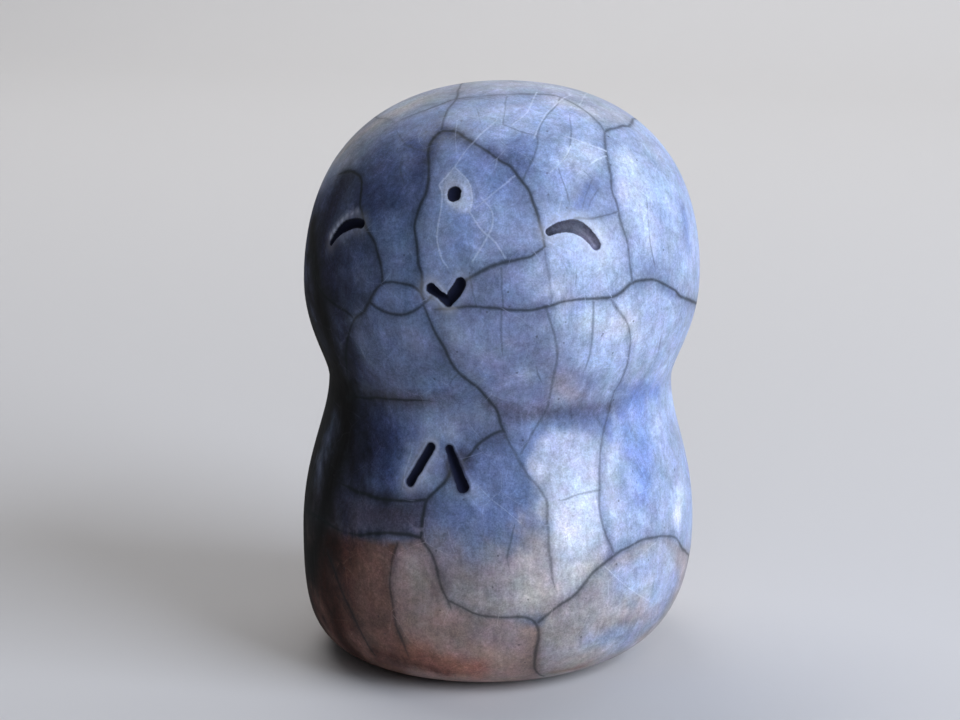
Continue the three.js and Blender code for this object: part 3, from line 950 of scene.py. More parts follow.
# The clouds of colour, in the order in which they lie over one another.
DABS = (
    # The sides and the back.
    Dab(Tone.NAVY, ((-80, 55), (-100, 48)), 9.0, 0.7, Plot.ROUND),
    # Painted sheen along the left of the crown's rim.
    Dab(Tone.PAINTED_SHEEN, ((-52, 66), (-72, 68), (-95, 71)), 4.0, 0.75, Plot.ROUND),
    # The left flank: smoke-dark clay, laid darker still as painted shade where it turns from the lights.
    Dab(Tone.INDIGO, ((-64, 44), (-84, 32), (-80, 18)), 10.0, 0.75, Plot.ROUND),
    Dab(Tone.SOOT_AND_SHADE, ((-64, 42), (-76, 28), (-70, 16)), 7.0, 0.95, Plot.ROUND),
    Dab(Tone.POWDER, ((128, 56), (140, 52)), 5.0, 0.6, Plot.ROUND),
    Dab(Tone.CHALK, ((160, 36), (165, 27)), 4.5, 0.8, Plot.ROUND),
    Dab(Tone.CHALK, ((112, 36), (118, 26)), 3.5, 0.55, Plot.ROUND),
    Dab(Tone.COBALT, ((205, 52), (190, 57)), 6.0, 0.6, Plot.ROUND),
    Dab(Tone.POWDER, ((178, 66), (215, 70)), 5.0, 0.6, Plot.ROUND),
    Dab(Tone.SLATE, ((222, 48), (236, 52)), 4.5, 0.6, Plot.ROUND),
    Dab(Tone.IRIS, ((205, 30), (218, 34)), 4.0, 0.6, Plot.ROUND),
    Dab(Tone.NAVY, ((240, 30), (246, 22)), 5.0, 0.7, Plot.ROUND),
    Dab(Tone.SAND, ((182, 24), (200, 23)), 3.0, 0.6, Plot.ROUND),
    Dab(Tone.PEARL, ((150, 16), (165, 14)), 3.5, 0.5, Plot.ROUND),
    Dab(Tone.TERRACOTTA, ((205, 4), (150, 3)), 4.0, 0.8, Plot.ROUND),
    Dab(Tone.MAROON, ((268, 10), (245, 6)), 5.0, 0.85, Plot.ROUND),
    Dab(Tone.EMBER, ((290, 14), (300, 7)), 5.0, 0.8, Plot.ROUND),
    Dab(Tone.LILAC, ((104, 8), (112, 12)), 4.0, 0.6, Plot.ROUND),
    # The head.
    Dab(Tone.NAVY, ((366, 172), (385, 158), (388, 195)), 3.0, 0.65),
    Dab(Tone.PERIWINKLE, ((398, 255), (402, 275)), 2.2, 0.5),
    # Down the head's left edge: smoke-dark clay, laid darker as painted shade away from the lights.
    Dab(Tone.INDIGO, ((340, 185), (326, 215), (322, 262), (330, 296)), 2.6, 0.95),
    Dab(Tone.SLATE, ((362, 266), (368, 284)), 1.6, 0.55),
    Dab(Tone.SOOT_AND_SHADE, ((312, 225), (314, 262), (318, 295), (328, 335), (340, 374)), 2.3, 1.0),
    # A painted sheen along the upper left rim of the head, where it would reflect the bright surroundings.
    Dab(Tone.PEARL, ((330, 168), (345, 147), (365, 130), (390, 114), (420, 100)), 1.8, 0.7),
    Dab(Tone.COBALT, ((465, 158), (500, 182)), 2.6, 0.5),
    Dab(Tone.SLATE, ((440, 150), (452, 160)), 1.8, 0.4),
    Dab(Tone.HAZE, ((490, 232), (520, 243)), 2.6, 0.5),
    Dab(Tone.POWDER, ((500, 110), (560, 114), (585, 128)), 2.6, 0.6),
    Dab(Tone.SLATE, ((512, 148), (526, 156), (532, 168)), 1.6, 0.6),
    Dab(Tone.SLATE, ((577, 201), (592, 184)), 1.3, 0.75),
    Dab(Tone.POWDER, ((570, 152), (580, 172), (600, 165)), 1.8, 0.7),
    Dab(Tone.CHALK, ((632, 172), (640, 200), (650, 240)), 1.8, 0.45),
    Dab(Tone.COBALT, ((684, 212), (688, 240)), 1.4, 0.5),
    Dab(Tone.SLATE, ((650, 268), (668, 276)), 1.2, 0.5),
    Dab(Tone.CHALK, ((603, 252), (600, 262)), 1.1, 0.45),
    Dab(Tone.POWDER, ((560, 270), (600, 280)), 2.0, 0.6),
    Dab(Tone.SLATE, ((496, 284), (505, 292)), 1.6, 0.5),
    Dab(Tone.MIST, ((536, 268), (541, 292)), 1.5, 0.85),
    Dab(Tone.PERIWINKLE, ((455, 320), (500, 325)), 2.2, 0.5),
    Dab(Tone.MIST, ((526, 372), (530, 376)), 1.1, 0.5),
    Dab(Tone.PERIWINKLE, ((412, 325), (432, 345)), 2.2, 0.6),
    Dab(Tone.STORM, ((360, 362), (372, 380)), 2.6, 0.85),
    Dab(Tone.INDIGO, ((345, 345), (350, 375)), 1.8, 0.8),
    Dab(Tone.LILAC, ((560, 368), (585, 384)), 2.0, 0.75),
    Dab(Tone.CHALK, ((600, 318), (622, 330)), 1.9, 0.55),
    Dab(Tone.POWDER, ((645, 325), (650, 350)), 2.4, 0.5),
    Dab(Tone.SNOW, ((562, 102), (590, 111)), 1.6, 0.8),
    Dab(Tone.MIST, ((460, 338), (474, 350)), 1.6, 0.6),
    Dab(Tone.HAZE, ((404, 330), (414, 342)), 1.5, 0.75),
    Dab(Tone.MIST, ((549, 328), (553, 342)), 0.9, 0.6),
    Dab(Tone.INDIGO, ((342, 318), (348, 340), (356, 372)), 1.7, 0.85),
    Dab(Tone.INDIGO, ((336, 250), (330, 275)), 1.5, 0.8),
    Dab(Tone.STORM, ((362, 322), (374, 345), (376, 362)), 1.4, 0.6),
    Dab(Tone.NAVY, ((364, 190), (372, 210)), 1.5, 0.8),
    Dab(Tone.CHALK, ((331, 236), (338, 225), (347, 216), (357, 211)), 0.5, 0.75),
    Dab(Tone.LILAC, ((342, 238), (352, 231), (362, 228)), 0.6, 0.6),
    Dab(Tone.NAVY, ((412, 142), (420, 156), (418, 172)), 1.5, 0.8),
    Dab(Tone.STORM, ((452, 132), (468, 142)), 1.1, 0.85),
    Dab(Tone.NAVY, ((426, 134), (434, 126)), 0.9, 0.6),
    Dab(Tone.NAVY, ((431, 152), (436, 138), (444, 128)), 1.0, 0.8),
    Dab(Tone.STORM, ((490, 150), (504, 158)), 1.0, 0.7),
    Dab(Tone.PERIWINKLE, ((468, 122), (490, 130)), 1.1, 0.7),
    Dab(Tone.STORM, ((508, 258), (524, 254)), 0.6, 0.5),
    Dab(Tone.SLATE, ((424, 133), (432, 126)), 1.0, 0.6),
    Dab(Tone.SLATE, ((512, 180), (522, 192)), 1.2, 0.7),
    Dab(Tone.CHALK, ((584, 146), (592, 156)), 1.0, 0.6),
    Dab(Tone.POWDER, ((566, 184), (574, 192)), 1.1, 0.6),
    Dab(Tone.SLATE, ((478, 366), (490, 380)), 1.1, 0.6),
    Dab(Tone.CHALK, ((568, 158), (580, 170)), 1.3, 0.55),
    Dab(Tone.STORM, ((514, 154), (522, 162)), 1.2, 0.5),
    Dab(Tone.CHALK, ((586, 226), (600, 232)), 0.9, 0.7),
    Dab(Tone.CHALK, ((648, 145), (660, 155)), 1.3, 0.5),
    Dab(Tone.HAZE, ((440, 225), (444, 245)), 1.5, 0.6),
    Dab(Tone.SLATE, ((664, 288), (676, 296)), 0.9, 0.45),
    Dab(Tone.CHALK, ((590, 322), (622, 325)), 1.5, 0.8),
    Dab(Tone.SNOW, ((628, 322), (637, 334)), 1.2, 0.75),
    Dab(Tone.CHALK, ((553, 288), (566, 300)), 1.2, 0.85),
    Dab(Tone.MAUVE, ((560, 386), (575, 398)), 1.6, 0.6),
    # The crease of the neck: soot caught in the crease, with painted shadow under the chin.
    Dab(Tone.SOOT_AND_SHADE, ((335, 388), (352, 400)), 2.6, 1.0),
    Dab(Tone.DUSK, ((368, 396), (420, 400), (450, 401)), 1.2, 0.65),
    Dab(Tone.DUSK, ((490, 407), (520, 412), (570, 411), (618, 406)), 1.2, 0.6),
    Dab(Tone.STORM, ((560, 419), (590, 419), (608, 424)), 0.9, 0.45),
    Dab(Tone.STORM, ((503, 412), (514, 420)), 0.9, 0.5),
    # The body.
    Dab(Tone.NAVY, ((365, 420), (388, 440), (385, 468)), 3.0, 0.95),
    Dab(Tone.INDIGO, ((352, 425), (352, 470)), 2.2, 0.85),
    Dab(Tone.LILAC, ((450, 412), (485, 424)), 2.4, 0.8),
    Dab(Tone.LILAC, ((442, 458), (440, 480)), 1.3, 0.8),
    Dab(Tone.MIST, ((430, 426), (450, 432)), 1.5, 0.8),
    Dab(Tone.HAZE, ((410, 448), (404, 468)), 1.0, 0.7),
    Dab(Tone.POWDER, ((419, 476), (428, 481)), 0.9, 0.75),
    Dab(Tone.INDIGO, ((450, 462), (452, 472)), 0.8, 0.7),
    Dab(Tone.STORM, ((478, 450), (500, 444)), 1.1, 0.5),
    Dab(Tone.HAZE, ((472, 486), (476, 494)), 1.1, 0.55),
    Dab(Tone.INDIGO, ((461, 452), (468, 462)), 0.8, 0.65),
    Dab(Tone.SLATE, ((522, 440), (528, 450)), 1.2, 0.6),
    Dab(Tone.STORM, ((498, 494), (512, 502)), 1.3, 0.4),
    Dab(Tone.CHALK, ((541, 482), (544, 514)), 0.9, 0.85),
    Dab(Tone.HAZE, ((434, 480), (428, 490)), 0.9, 0.6),
    Dab(Tone.MAUVE, ((440, 562), (470, 578), (520, 568)), 3.2, 0.9),
    Dab(Tone.SAND, ((538, 545), (542, 575), (530, 602), (490, 605), (460, 596)), 2.4, 0.9),
    Dab(Tone.POWDER, ((560, 440), (592, 446)), 1.6, 0.5),
    Dab(Tone.LILAC, ((598, 436), (606, 444)), 0.9, 0.6),
    Dab(Tone.SNOW, ((570, 515), (575, 548), (590, 535)), 1.5, 0.85),
    Dab(Tone.PEARL, ((526, 566), (516, 588), (545, 598), (566, 582), (596, 562)), 1.6, 0.85),
    Dab(Tone.CHALK, ((612, 450), (612, 490), (616, 532)), 1.3, 0.85),
    Dab(Tone.COBALT, ((640, 410), (645, 460), (642, 492)), 2.2, 0.75),
    Dab(Tone.IRIS, ((622, 412), (632, 397), (656, 392)), 1.5, 0.65),
    Dab(Tone.COBALT, ((626, 430), (630, 450)), 1.2, 0.7),
    Dab(Tone.COBALT, ((609, 424), (612, 440)), 0.8, 0.6),
    Dab(Tone.POWDER, ((664, 455), (668, 482)), 1.3, 0.6),
    Dab(Tone.SNOW, ((681, 492), (678, 515)), 1.3, 0.7),
    Dab(Tone.LILAC, ((648, 530), (656, 534)), 1.0, 0.5),
    Dab(Tone.HAZE, ((684, 460), (687, 476)), 0.8, 0.6),
    Dab(Tone.MIST, ((625, 580), (660, 562), (655, 600)), 2.8, 0.85),
    Dab(Tone.MIST, ((590, 642), (628, 632)), 1.7, 0.75),
    Dab(Tone.POWDER, ((660, 560), (668, 572)), 1.2, 0.7),
    Dab(Tone.HAZE, ((676, 580), (662, 612), (630, 640)), 2.2, 0.65),
    Dab(Tone.SAND, ((534, 612), (552, 608)), 1.2, 0.9),
    Dab(Tone.ROSE, ((560, 672), (576, 668)), 0.9, 0.6),
    Dab(Tone.SAND, ((640, 644), (655, 636)), 1.0, 0.6),
    Dab(Tone.SAND, ((412, 566), (420, 584)), 1.5, 0.65),
    Dab(Tone.TERRACOTTA, ((405, 655), (440, 668), (472, 674)), 1.8, 0.85),
    Dab(Tone.MAROON, ((375, 652), (400, 660), (425, 667), (446, 673)), 1.1, 0.8),
    Dab(Tone.TERRACOTTA, ((412, 650), (445, 662), (480, 668)), 1.5, 0.75),
    Dab(Tone.UMBER, ((556, 672), (580, 668)), 0.9, 0.6),
    # Dark warm clay at the lower left edge, darkened further as painted shade.
    Dab(Tone.EMBER, ((326, 585), (336, 602)), 1.7, 0.8),
    Dab(Tone.MAUVE, ((480, 634), (512, 640)), 2.0, 0.6),
    Dab(Tone.PEARL, ((572, 618), (584, 612)), 1.3, 0.5),
    Dab(Tone.SNOW, ((560, 576), (570, 584)), 1.1, 0.5),
    # The body's left flank: smoke-dark clay, laid darker as painted shade where it turns from the lights and
    # from the floor's light.
    Dab(Tone.MAROON, ((350, 545), (345, 580), (350, 625)), 2.4, 0.85),
    Dab(Tone.INDIGO, ((364, 410), (366, 450), (354, 490)), 1.8, 0.8),
    Dab(Tone.INDIGO, ((350, 488), (385, 499)), 0.9, 0.75),
    Dab(Tone.INDIGO, ((345, 533), (378, 534)), 0.9, 0.75),
    Dab(Tone.SOOT_AND_SHADE, ((344, 400), (346, 425), (340, 455), (328, 490), (320, 530), (312, 565)), 3.0, 1.0),
    Dab(Tone.INDIGO, ((342, 500), (345, 520)), 1.8, 0.7),
    Dab(Tone.SOOT_AND_SHADE, ((306, 480), (304, 530), (308, 565)), 2.4, 0.9),
    Dab(Tone.EMBER, ((332, 545), (322, 585), (334, 620), (352, 652)), 2.3, 0.95),
    Dab(Tone.PEARL, ((500, 560), (500, 588)), 1.4, 0.4),
    Dab(Tone.PEARL, ((518, 588), (526, 596)), 1.5, 0.6),
    Dab(Tone.SAND, ((417, 590), (424, 608)), 1.5, 0.45),
    Dab(Tone.CHALK, ((662, 556), (670, 568)), 1.3, 0.55),
    Dab(Tone.PEARL, ((570, 651), (602, 650)), 1.5, 0.35),
    Dab(Tone.HAZE, ((470, 491), (478, 499)), 1.0, 0.45),
    Dab(Tone.MIST, ((431, 467), (427, 481)), 1.0, 0.4),
    Dab(Tone.HAZE, ((634, 606),), 1.1, 0.5),
    Dab(Tone.IRIS, ((588, 186), (578, 206)), 0.6, 0.5),
    # More of the left flank's soot, laid darker as painted shade.
    Dab(Tone.SOOT_AND_SHADE, ((-62, 40), (-72, 28), (-70, 18)), 5.0, 0.9, Plot.ROUND),
)


def smooth_route(points: list[Vector], step: float) -> np.ndarray:
    """A smooth curve through points.

    Args:
        points: what it passes through.
        step: about how far apart its own points are.

    Returns:
        The curve's points, one a row.
    """
    if len(points) == 1:
        return np.array([points[0]])
    ends = [points[0] * 2 - points[1], *points, points[-1] * 2 - points[-2]]
    curve = []
    for before, start, end, after in zip(ends, ends[1:], ends[2:], ends[3:]):
        count = max(2, math.ceil((end - start).length / step))
        for i in range(count):
            t = i / count
            curve.append(0.5 * (
                2 * start + (end - before) * t + (2 * before - 5 * start + 4 * end - after) * t * t
                + (3 * start - before - 3 * end + after) * t ** 3))
    curve.append(points[-1])
    return np.array(curve)


def drift(co: np.ndarray, size_mm: float, shift: float) -> np.ndarray:
    """Slow unevenness over the skin.

    Args:
        co: the points, one a row.
        size_mm: how far apart its swells are.
        shift: a distance in swells that makes one drift differ from another.

    Returns:
        A value from about minus one to one for each point.
    """
    scaled = co * per_metre(size_mm) + shift
    return np.array([noise.noise(Vector(p)) for p in scaled])


class LineField:
    """All lines of one kind on the skin, and how far any point is from them."""

    def __init__(self) -> None:
        """Starts with no lines."""
        self.places: list[np.ndarray] = []
        self.widths: list[np.ndarray] = []
        self.reaches: list[np.ndarray] = []
        self.inks: list[np.ndarray] = []
        self.tree: KDTree | None = None

    def add(self, places: np.ndarray, widths: np.ndarray, reaches: np.ndarray, ink: float = 1.0) -> None:
        """Takes in one line.

        Args:
            places: its points, one a row.
            widths: its half width at each.
            reaches: how far its stain reaches at each.
            ink: its strength.
        """
        self.places.append(places)
        self.widths.append(widths)
        self.reaches.append(reaches)
        self.inks.append(np.full(len(places), ink))

    def settle(self) -> None:
        """Sorts the points once all lines are in."""
        self.place = np.concatenate(self.places)
        self.width = np.concatenate(self.widths)
        self.reach = np.concatenate(self.reaches)
        self.ink = np.concatenate(self.inks)
        self.tree = KDTree(len(self.place))
        for i, place in enumerate(self.place):
            self.tree.insert(place, i)
        self.tree.balance()

    def measure(self, co: np.ndarray) -> tuple[np.ndarray, np.ndarray]:
        """Finds the nearest line's point.

        Args:
            co: the points to measure from, one a row.

        Returns:
            The distance to it, and its number.
        """
        found = [self.tree.find(p)[1:] for p in co]
        return np.array([d for _, d in found]), np.array([i for i, _ in found])


class Plotter:
    """Puts written points on the skin, and draws the lines through them."""

    # How far apart the lines' bends are, and the shifts that part the three ways that they stray.
    STRAY_MM = 2.4
    STRAY_SHIFTS = (0.4, 31.7, 63.1)
    # What is left of a line at a faded end, and how the fade runs.
    FADED, FADE_POWER = 0.02, 0.6
    # A line's mean width as a share of the written one, and its swells' size in millimetres and shift.
    MEAN_WIDTH, SWELL_MM, SWELL_SHIFT = 0.95, 5.0, 3.1

    def __init__(self, form: FigureForm, camera: PortraitCamera, tree: BVHTree) -> None:
        """Takes the form, the camera and the plain skin."""
        self.form, self.camera, self.tree = form, camera, tree

    def place(self, plot: Plot, a: float, b: float) -> Vector:
        """Puts one point on the skin.

        Args:
            plot: how it is written.
            a: pixels across, or degrees round.
            b: pixels down, or millimetres up.

        Returns:
            The point.
        """
        if plot is Plot.ROUND:
            return self.form.standing_on(a, b * MM)
        start, sight = self.camera.place(), self.camera.sight(a, b)
        hit = self.tree.ray_cast(start, sight)[0]
        if hit is None:
            beside = start + sight * (self.camera.distance / -sight.dot(self.camera.back()))
            hit = self.tree.find_nearest(beside)[0]
        return hit

    def route(self, plot: Plot, points: Pairs, step: float) -> np.ndarray:
        """A smooth curve on the skin through written points."""
        curve = smooth_route([self.place(plot, a, b) for a, b in points], step)
        return self.form.settle(curve)

    def draw(self, lines: tuple[Line, ...], step: float, wander: float, swell: float = 0.45) -> LineField:
        """Draws lines with a slight wander, as a split in clay has.

        Args:
            lines: the lines.
            step: how far apart their points are, in metres.
            wander: how far they stray, in metres.
            swell: how much their width comes and goes.

        Returns:
            The field of all their points.
        """
        lines_field = LineField()
        for line in lines:
            places = self.route(line.plot, line.points, step)
            stray = np.stack([drift(places, self.STRAY_MM, shift) for shift in self.STRAY_SHIFTS], axis=1)
            places = self.form.settle(places + stray * wander)
            run = np.concatenate([[0.0], np.cumsum(np.linalg.norm(np.diff(places, axis=0), axis=1))])
            taper = np.ones(len(places))
            for fade, gone in zip(line.fade, (run, run[-1] - run)):
                if fade > 0.0:
                    taper *= np.clip(gone / (fade * MM), self.FADED, 1.0) ** self.FADE_POWER
            wide = self.MEAN_WIDTH + swell * drift(places, self.SWELL_MM, self.SWELL_SHIFT)
            lines_field.add(places, line.width * MM * taper * wide, line.stain * MM * taper, line.ink)
        lines_field.settle()
        return lines_field


class ClaySkin:
    """The burnished outside of the whole figure, turned, pressed and painted in one."""

    ROW_STEP = 0.95 * MM
    ROUND_STEPS = 172
    WELD = 0.002 * MM
    LINE_STEP = 0.11 * MM
    WANDER = 0.2 * MM
    # Edges longer than the first size are split where a line is nearer than the second or a mark than
    # the third, in millimetres. The finest grade is for the marks alone.
    GRADES = ((0.5, 0.85, 1.35), (0.27, 0.4, 0.9), (0.15, 0.12, 0.62), (0.1, -1.0, 0.3))
    # Below this the skin stays as it was turned, so that the foot is flat and its ring is even.
    FOOT_ROOM = 0.12 * MM
    # The flat of the foot lies at the base's lower end, and this keeps it within.
    SLACK = 0.001 * MM
    # Each unevenness by how deep it is, and by its drift's size in millimetres and shift.
    UNEVEN = ((0.09 * MM, 13.0, 7.7), (0.025 * MM, 4.2, 1.3))
    FOOT_FADE = 2.0 * MM
    # The wavers of the marks' edges and of the clouds' edges: share, size in millimetres, shift.
    MARK_WAVER = ((0.1, 0.9, 5.2), (0.06, 0.4, 2.2))
    CLOUD_WAVER = ((0.4, 6.5, 4.4), (0.3, 2.4, 9.1), (0.22, 0.9, 2.7))
    # In half widths: how far a mark's lip reaches, where its soot is full, and where its pale halo and painted
    # highlight start and how far they take to rise.
    LIP_REACH, FULL_SOOT, GLOW_START, GLOW_RISE = 0.9, 0.77, 0.85, 0.35
    # Under one the floor of a mark is flatter than a round stick's.
    HOLLOW_POWER = 0.8
    # The way along a mark ends here, so that it stays below the next mark's number.
    MARK_END = 0.99
    FINE_SWELL = 0.2
    STAIN_FADE = 1.9
    # Where the skin turns from the camera: how much the edge of what is seen wavers, and how it fades.
    SIDE_WAVER, SIDE_FADE = 0.15, 0.4
    EDGE_WAVER = 0.25 * MM
    DAB_STEP = 1.5 * MM
    # Where the warm low ground starts to turn blue, and over what height, in millimetres.
    BLUE_START, BLUE_RISE = 9.0, 16.0
    # About how far a degree reaches along the side.
    DEGREE = 0.43 * MM

    def __init__(self, form: FigureForm, camera: PortraitCamera) -> None:
        """Starts with an empty skin.

        Args:
            form: the figure's form.
            camera: the camera by which the lines are plotted.
        """
        self.form, self.camera = form, camera
        self.bm = bmesh.new()
        layers = self.bm.verts.layers
        layers.float_vector.new(SKIN_NORMAL)
        layers.float_color.new(TONE)
        for name in (CRACK, INK, STAIN, HAIR, CRAZE, PRESSED, GLOW):
            layers.float.new(name)

    def build(self) -> None:
        """Turns the skin, draws on it, presses the marks and paints it."""
        self.turn()
        self.plotter = Plotter(self.form, self.camera, BVHTree.FromBMesh(self.bm))
        self.smoke = self.plotter.draw(SMOKE_LINES, self.LINE_STEP, self.WANDER)
        self.hair, self.craze = (
            self.plotter.draw(lines, self.LINE_STEP, self.WANDER / 2, self.FINE_SWELL)
            for lines in (HAIR_LINES, CRAZE_LINES))
        self.marks = self.lay_marks()
        self.refine()
        self.shape()
        self.paint()

    def turn(self) -> None:
        """Wraps a grid round the outline as the plain skin, open at the vent.

        A grid has the same order in every run, which a spin has not.
        """
        rows = self.form.rows(self.ROW_STEP)
        last = len(rows) - 1
        bmesh.ops.create_grid(self.bm, x_segments=self.ROUND_STEPS, y_segments=last, size=0.5)
        for vert in self.bm.verts:
            radius, height = rows[round((vert.co.y + 0.5) * last)]
            angle = math.tau * (vert.co.x + 0.5)
            middle = float(self.form.sway(height))
            vert.co = (middle + radius * math.cos(angle), radius * math.sin(angle), height)
        bmesh.ops.remove_doubles(self.bm, verts=self.bm.verts, dist=self.WELD)
        bmesh.ops.triangulate(self.bm, faces=self.bm.faces)
        bmesh.ops.recalc_face_normals(self.bm, faces=self.bm.faces)

    def lay_marks(self) -> LineField:
        """Lays the marks' strokes on the skin.

        Returns:
            The field of their points. The reach is the mark's number, with the way along as its fraction.
        """
        marks = LineField()
        for number, mark in enumerate(MARKS):
            path = [mark.card.press(u * MM, v * MM, self.form, self.plotter.tree) for u, v, _ in mark.path]
            places = smooth_route(path, self.LINE_STEP / 2)
            along = np.linspace(0.0, len(path) - 1.0, len(places))
            halves = np.interp(along, range(len(path)), [width / 2 * MM for _, _, width in mark.path])
            marks.add(places, halves, number + self.MARK_END * along / (len(path) - 1))
        marks.settle()
        return marks

    def refine(self) -> None:
        """Splits the skin finer near the lines and the marks, so that their edges can be drawn."""
        drawn = LineField()
        for lines in (self.smoke, self.hair, self.craze):
            drawn.add(lines.place, lines.width, lines.reach)
        drawn.settle()
        for longest, line_room, mark_room in self.GRADES:
            edges = [e for e in self.bm.edges
                     if e.calc_length() > longest * MM and max(v.co.z for v in e.verts) > self.FOOT_ROOM]
            middles = np.array([(e.verts[0].co + e.verts[1].co) / 2 for e in edges])
            close = np.zeros(len(edges), bool)
            for lines, room in ((drawn, line_room), (self.marks, mark_room)):
                distance, number = lines.measure(middles)
                close |= distance < lines.width[number] + room * MM
            split = [e for e, c in zip(edges, close) if c]
            bmesh.ops.subdivide_edges(self.bm, edges=split, cuts=1)
            bmesh.ops.triangulate(self.bm, faces=[f for f in self.bm.faces if len(f.verts) > 3])
            LOG.info("skin split to %.2f mm: %d faces", longest, len(self.bm.faces))

    def waver(self, co: np.ndarray, drifts: Triples) -> np.ndarray:
        """A factor about one at each point, from drifts by share, size and shift."""
        return sum((share * drift(co, size, shift) for share, size, shift in drifts), 1.0)

    def shape(self) -> None:
        """Settles the skin on the form, gives it a hand's unevenness and presses the marks in."""
        co = self.form.settle(np.array([v.co for v in self.bm.verts]))
        self.bm.normal_update()
        normal = np.array([v.normal for v in self.bm.verts])
        uneven = sum(deep * (0.5 - 0.5 * drift(co, size, shift)) for deep, size, shift in self.UNEVEN)
        uneven *= np.clip(co[:, 2] / self.FOOT_FADE, 0.0, 1.0)
        sides = normal.copy()
        sides[co[:, 2] < self.form.crown_end, 2] = 0.0
        co -= sides * uneven[:, None]
        distance, number = self.marks.measure(co)
        which = self.marks.reach[number].astype(int)
        even = self.marks.width[number]
        half = even * self.waver(co, self.MARK_WAVER)
        depth, lip, soot, smudge, halo_and_highlight, spread = (
            np.array([getattr(mark, name) for mark in MARKS])[which]
            for name in ("depth", "lip", "soot", "smudge", "halo_and_highlight", "halo_and_highlight_reach"))
        inside = np.clip(1.0 - (distance / half) ** 2, 0.0, None)
        beyond = np.clip((distance - even) / (self.LIP_REACH * even), 0.0, 1.0)
        sink = depth * inside ** self.HOLLOW_POWER - lip * np.sin(beyond * math.pi) ** 2
        co -= normal * sink[:, None] * MM
        pressed = np.clip((smudge - distance / half) / (smudge - self.FULL_SOOT), 0.0, 1.0) * soot
        # The pale halo beside each mark's edge: partly the clay's own, partly painted highlight on the lip.
        halo = halo_and_highlight * np.exp(-(np.clip(distance - even, 0.0, None) / (spread * MM)) ** 2)
        halo *= np.clip((distance / even - self.GLOW_START) / self.GLOW_RISE, 0.0, 1.0)
        self.in_mark = np.where(distance < half, self.marks.reach[number], -1.0)
        pressed_layer = self.bm.verts.layers.float[PRESSED]
        halo_and_highlight_layer = self.bm.verts.layers.float[GLOW]
        normal_layer = self.bm.verts.layers.float_vector[SKIN_NORMAL]
        for i, vert in enumerate(self.bm.verts):
            vert.co = co[i]
            vert[pressed_layer] = pressed[i]
            vert[halo_and_highlight_layer] = halo[i]
        self.bm.normal_update()
        for vert in self.bm.verts:
            vert[normal_layer] = vert.normal
        self.co, self.normal = co, normal

    def paint(self) -> None:
        """Lays the colours on, and notes how far each point is from the lines."""
        colour = self.clouds()
        layers = self.bm.verts.layers
        values = {}
        distance, number = self.smoke.measure(self.co)
        values[CRACK] = distance / self.smoke.width[number]
        values[INK] = self.smoke.ink[number]
        creep = np.exp(-distance / self.smoke.reach[number] * self.STAIN_FADE)
        values[STAIN] = creep * values[INK]
        for name, lines in ((HAIR, self.hair), (CRAZE, self.craze)):
            distance, number = lines.measure(self.co)
            values[name] = distance / lines.width[number]
        tone_layer = layers.float_color[TONE]
        for vert, shade in zip(self.bm.verts, colour):
            vert[tone_layer] = (*shade, 1.0)
        for name, value in values.items():
            layer = layers.float[name]
            for vert, v in zip(self.bm.verts, np.minimum(value, FAR_AWAY)):
                vert[layer] = v

    def clouds(self) -> np.ndarray:
        """Mixes the dabs over one another, with wavering edges.

        Returns:
            A linear colour for each point of the skin.
        """
        shades = {tone: by_eye(tone.value) for tone in Tone}
        waver = self.waver(self.co, self.CLOUD_WAVER)
        low = np.clip((self.co[:, 2] / MM - self.BLUE_START) / self.BLUE_RISE, 0.0, 1.0)[:, None]
        colour = shades[Tone.MAUVE] * (1.0 - low) + shades[Tone.PERIWINKLE] * low
        facing = self.normal @ np.array(self.camera.back()) + self.SIDE_WAVER * (waver - 1.0)
        seen = np.clip(1.0 + facing / self.SIDE_FADE, 0.0, 1.0)
        edge = self.co + self.EDGE_WAVER * waver[:, None] * self.normal[:, [1, 2, 0]]
        turn = np.degrees(np.arctan2(edge[:, 0] - self.form.sway(edge[:, 2]), -edge[:, 1])) % 360.0
        plots = {
            Plot.ROUND: ((turn, edge[:, 2] / MM, (self.DEGREE, MM)), 1.0),
            Plot.PICTURE: ((*self.camera.picture(edge), (self.camera.pixel(),) * 2), seen),
        }
        for cell in CELLS:
            place, share = plots[cell.plot]
            cover = (cell.cover(*place) * share)[:, None]
            colour = colour * (1.0 - cover) + shades[cell.tone] * cover
        for dab in DABS:
            stroke = self.plotter.route(dab.plot, dab.points, self.DAB_STEP)
            nearest = np.full(len(self.co), np.inf)
            for place in stroke:
                nearest = np.minimum(nearest, np.sum((self.co - place) ** 2, axis=1))
            spread = np.sqrt(nearest) / (dab.reach * MM) * waver
            cover = (dab.strength * np.exp(-spread ** 2))[:, None]
            colour = colour * (1.0 - cover) + shades[dab.tone] * cover
        for number, mark in enumerate(MARKS):
            inside = self.in_mark.astype(int) == number
            along = (self.in_mark[inside] - number)[:, None]
            colour[inside] = shades[mark.floor] * (1.0 - along) + shades[mark.floor_end] * along
        return to_light(colour)

    def part(self, low: float, high: float) -> bmesh.types.BMesh:
        """A copy of the skin between two heights.

        Args:
            low: the lower joint.
            high: the upper joint.

        Returns:
            The band as a mesh of its own.
        """
        band = self.bm.copy()
        heights = {f: f.calc_center_median().z + self.SLACK for f in band.faces}
        outside = [f for f, height in heights.items() if not low < height < high]
        bmesh.ops.delete(band, geom=outside, context="FACES")
        return band


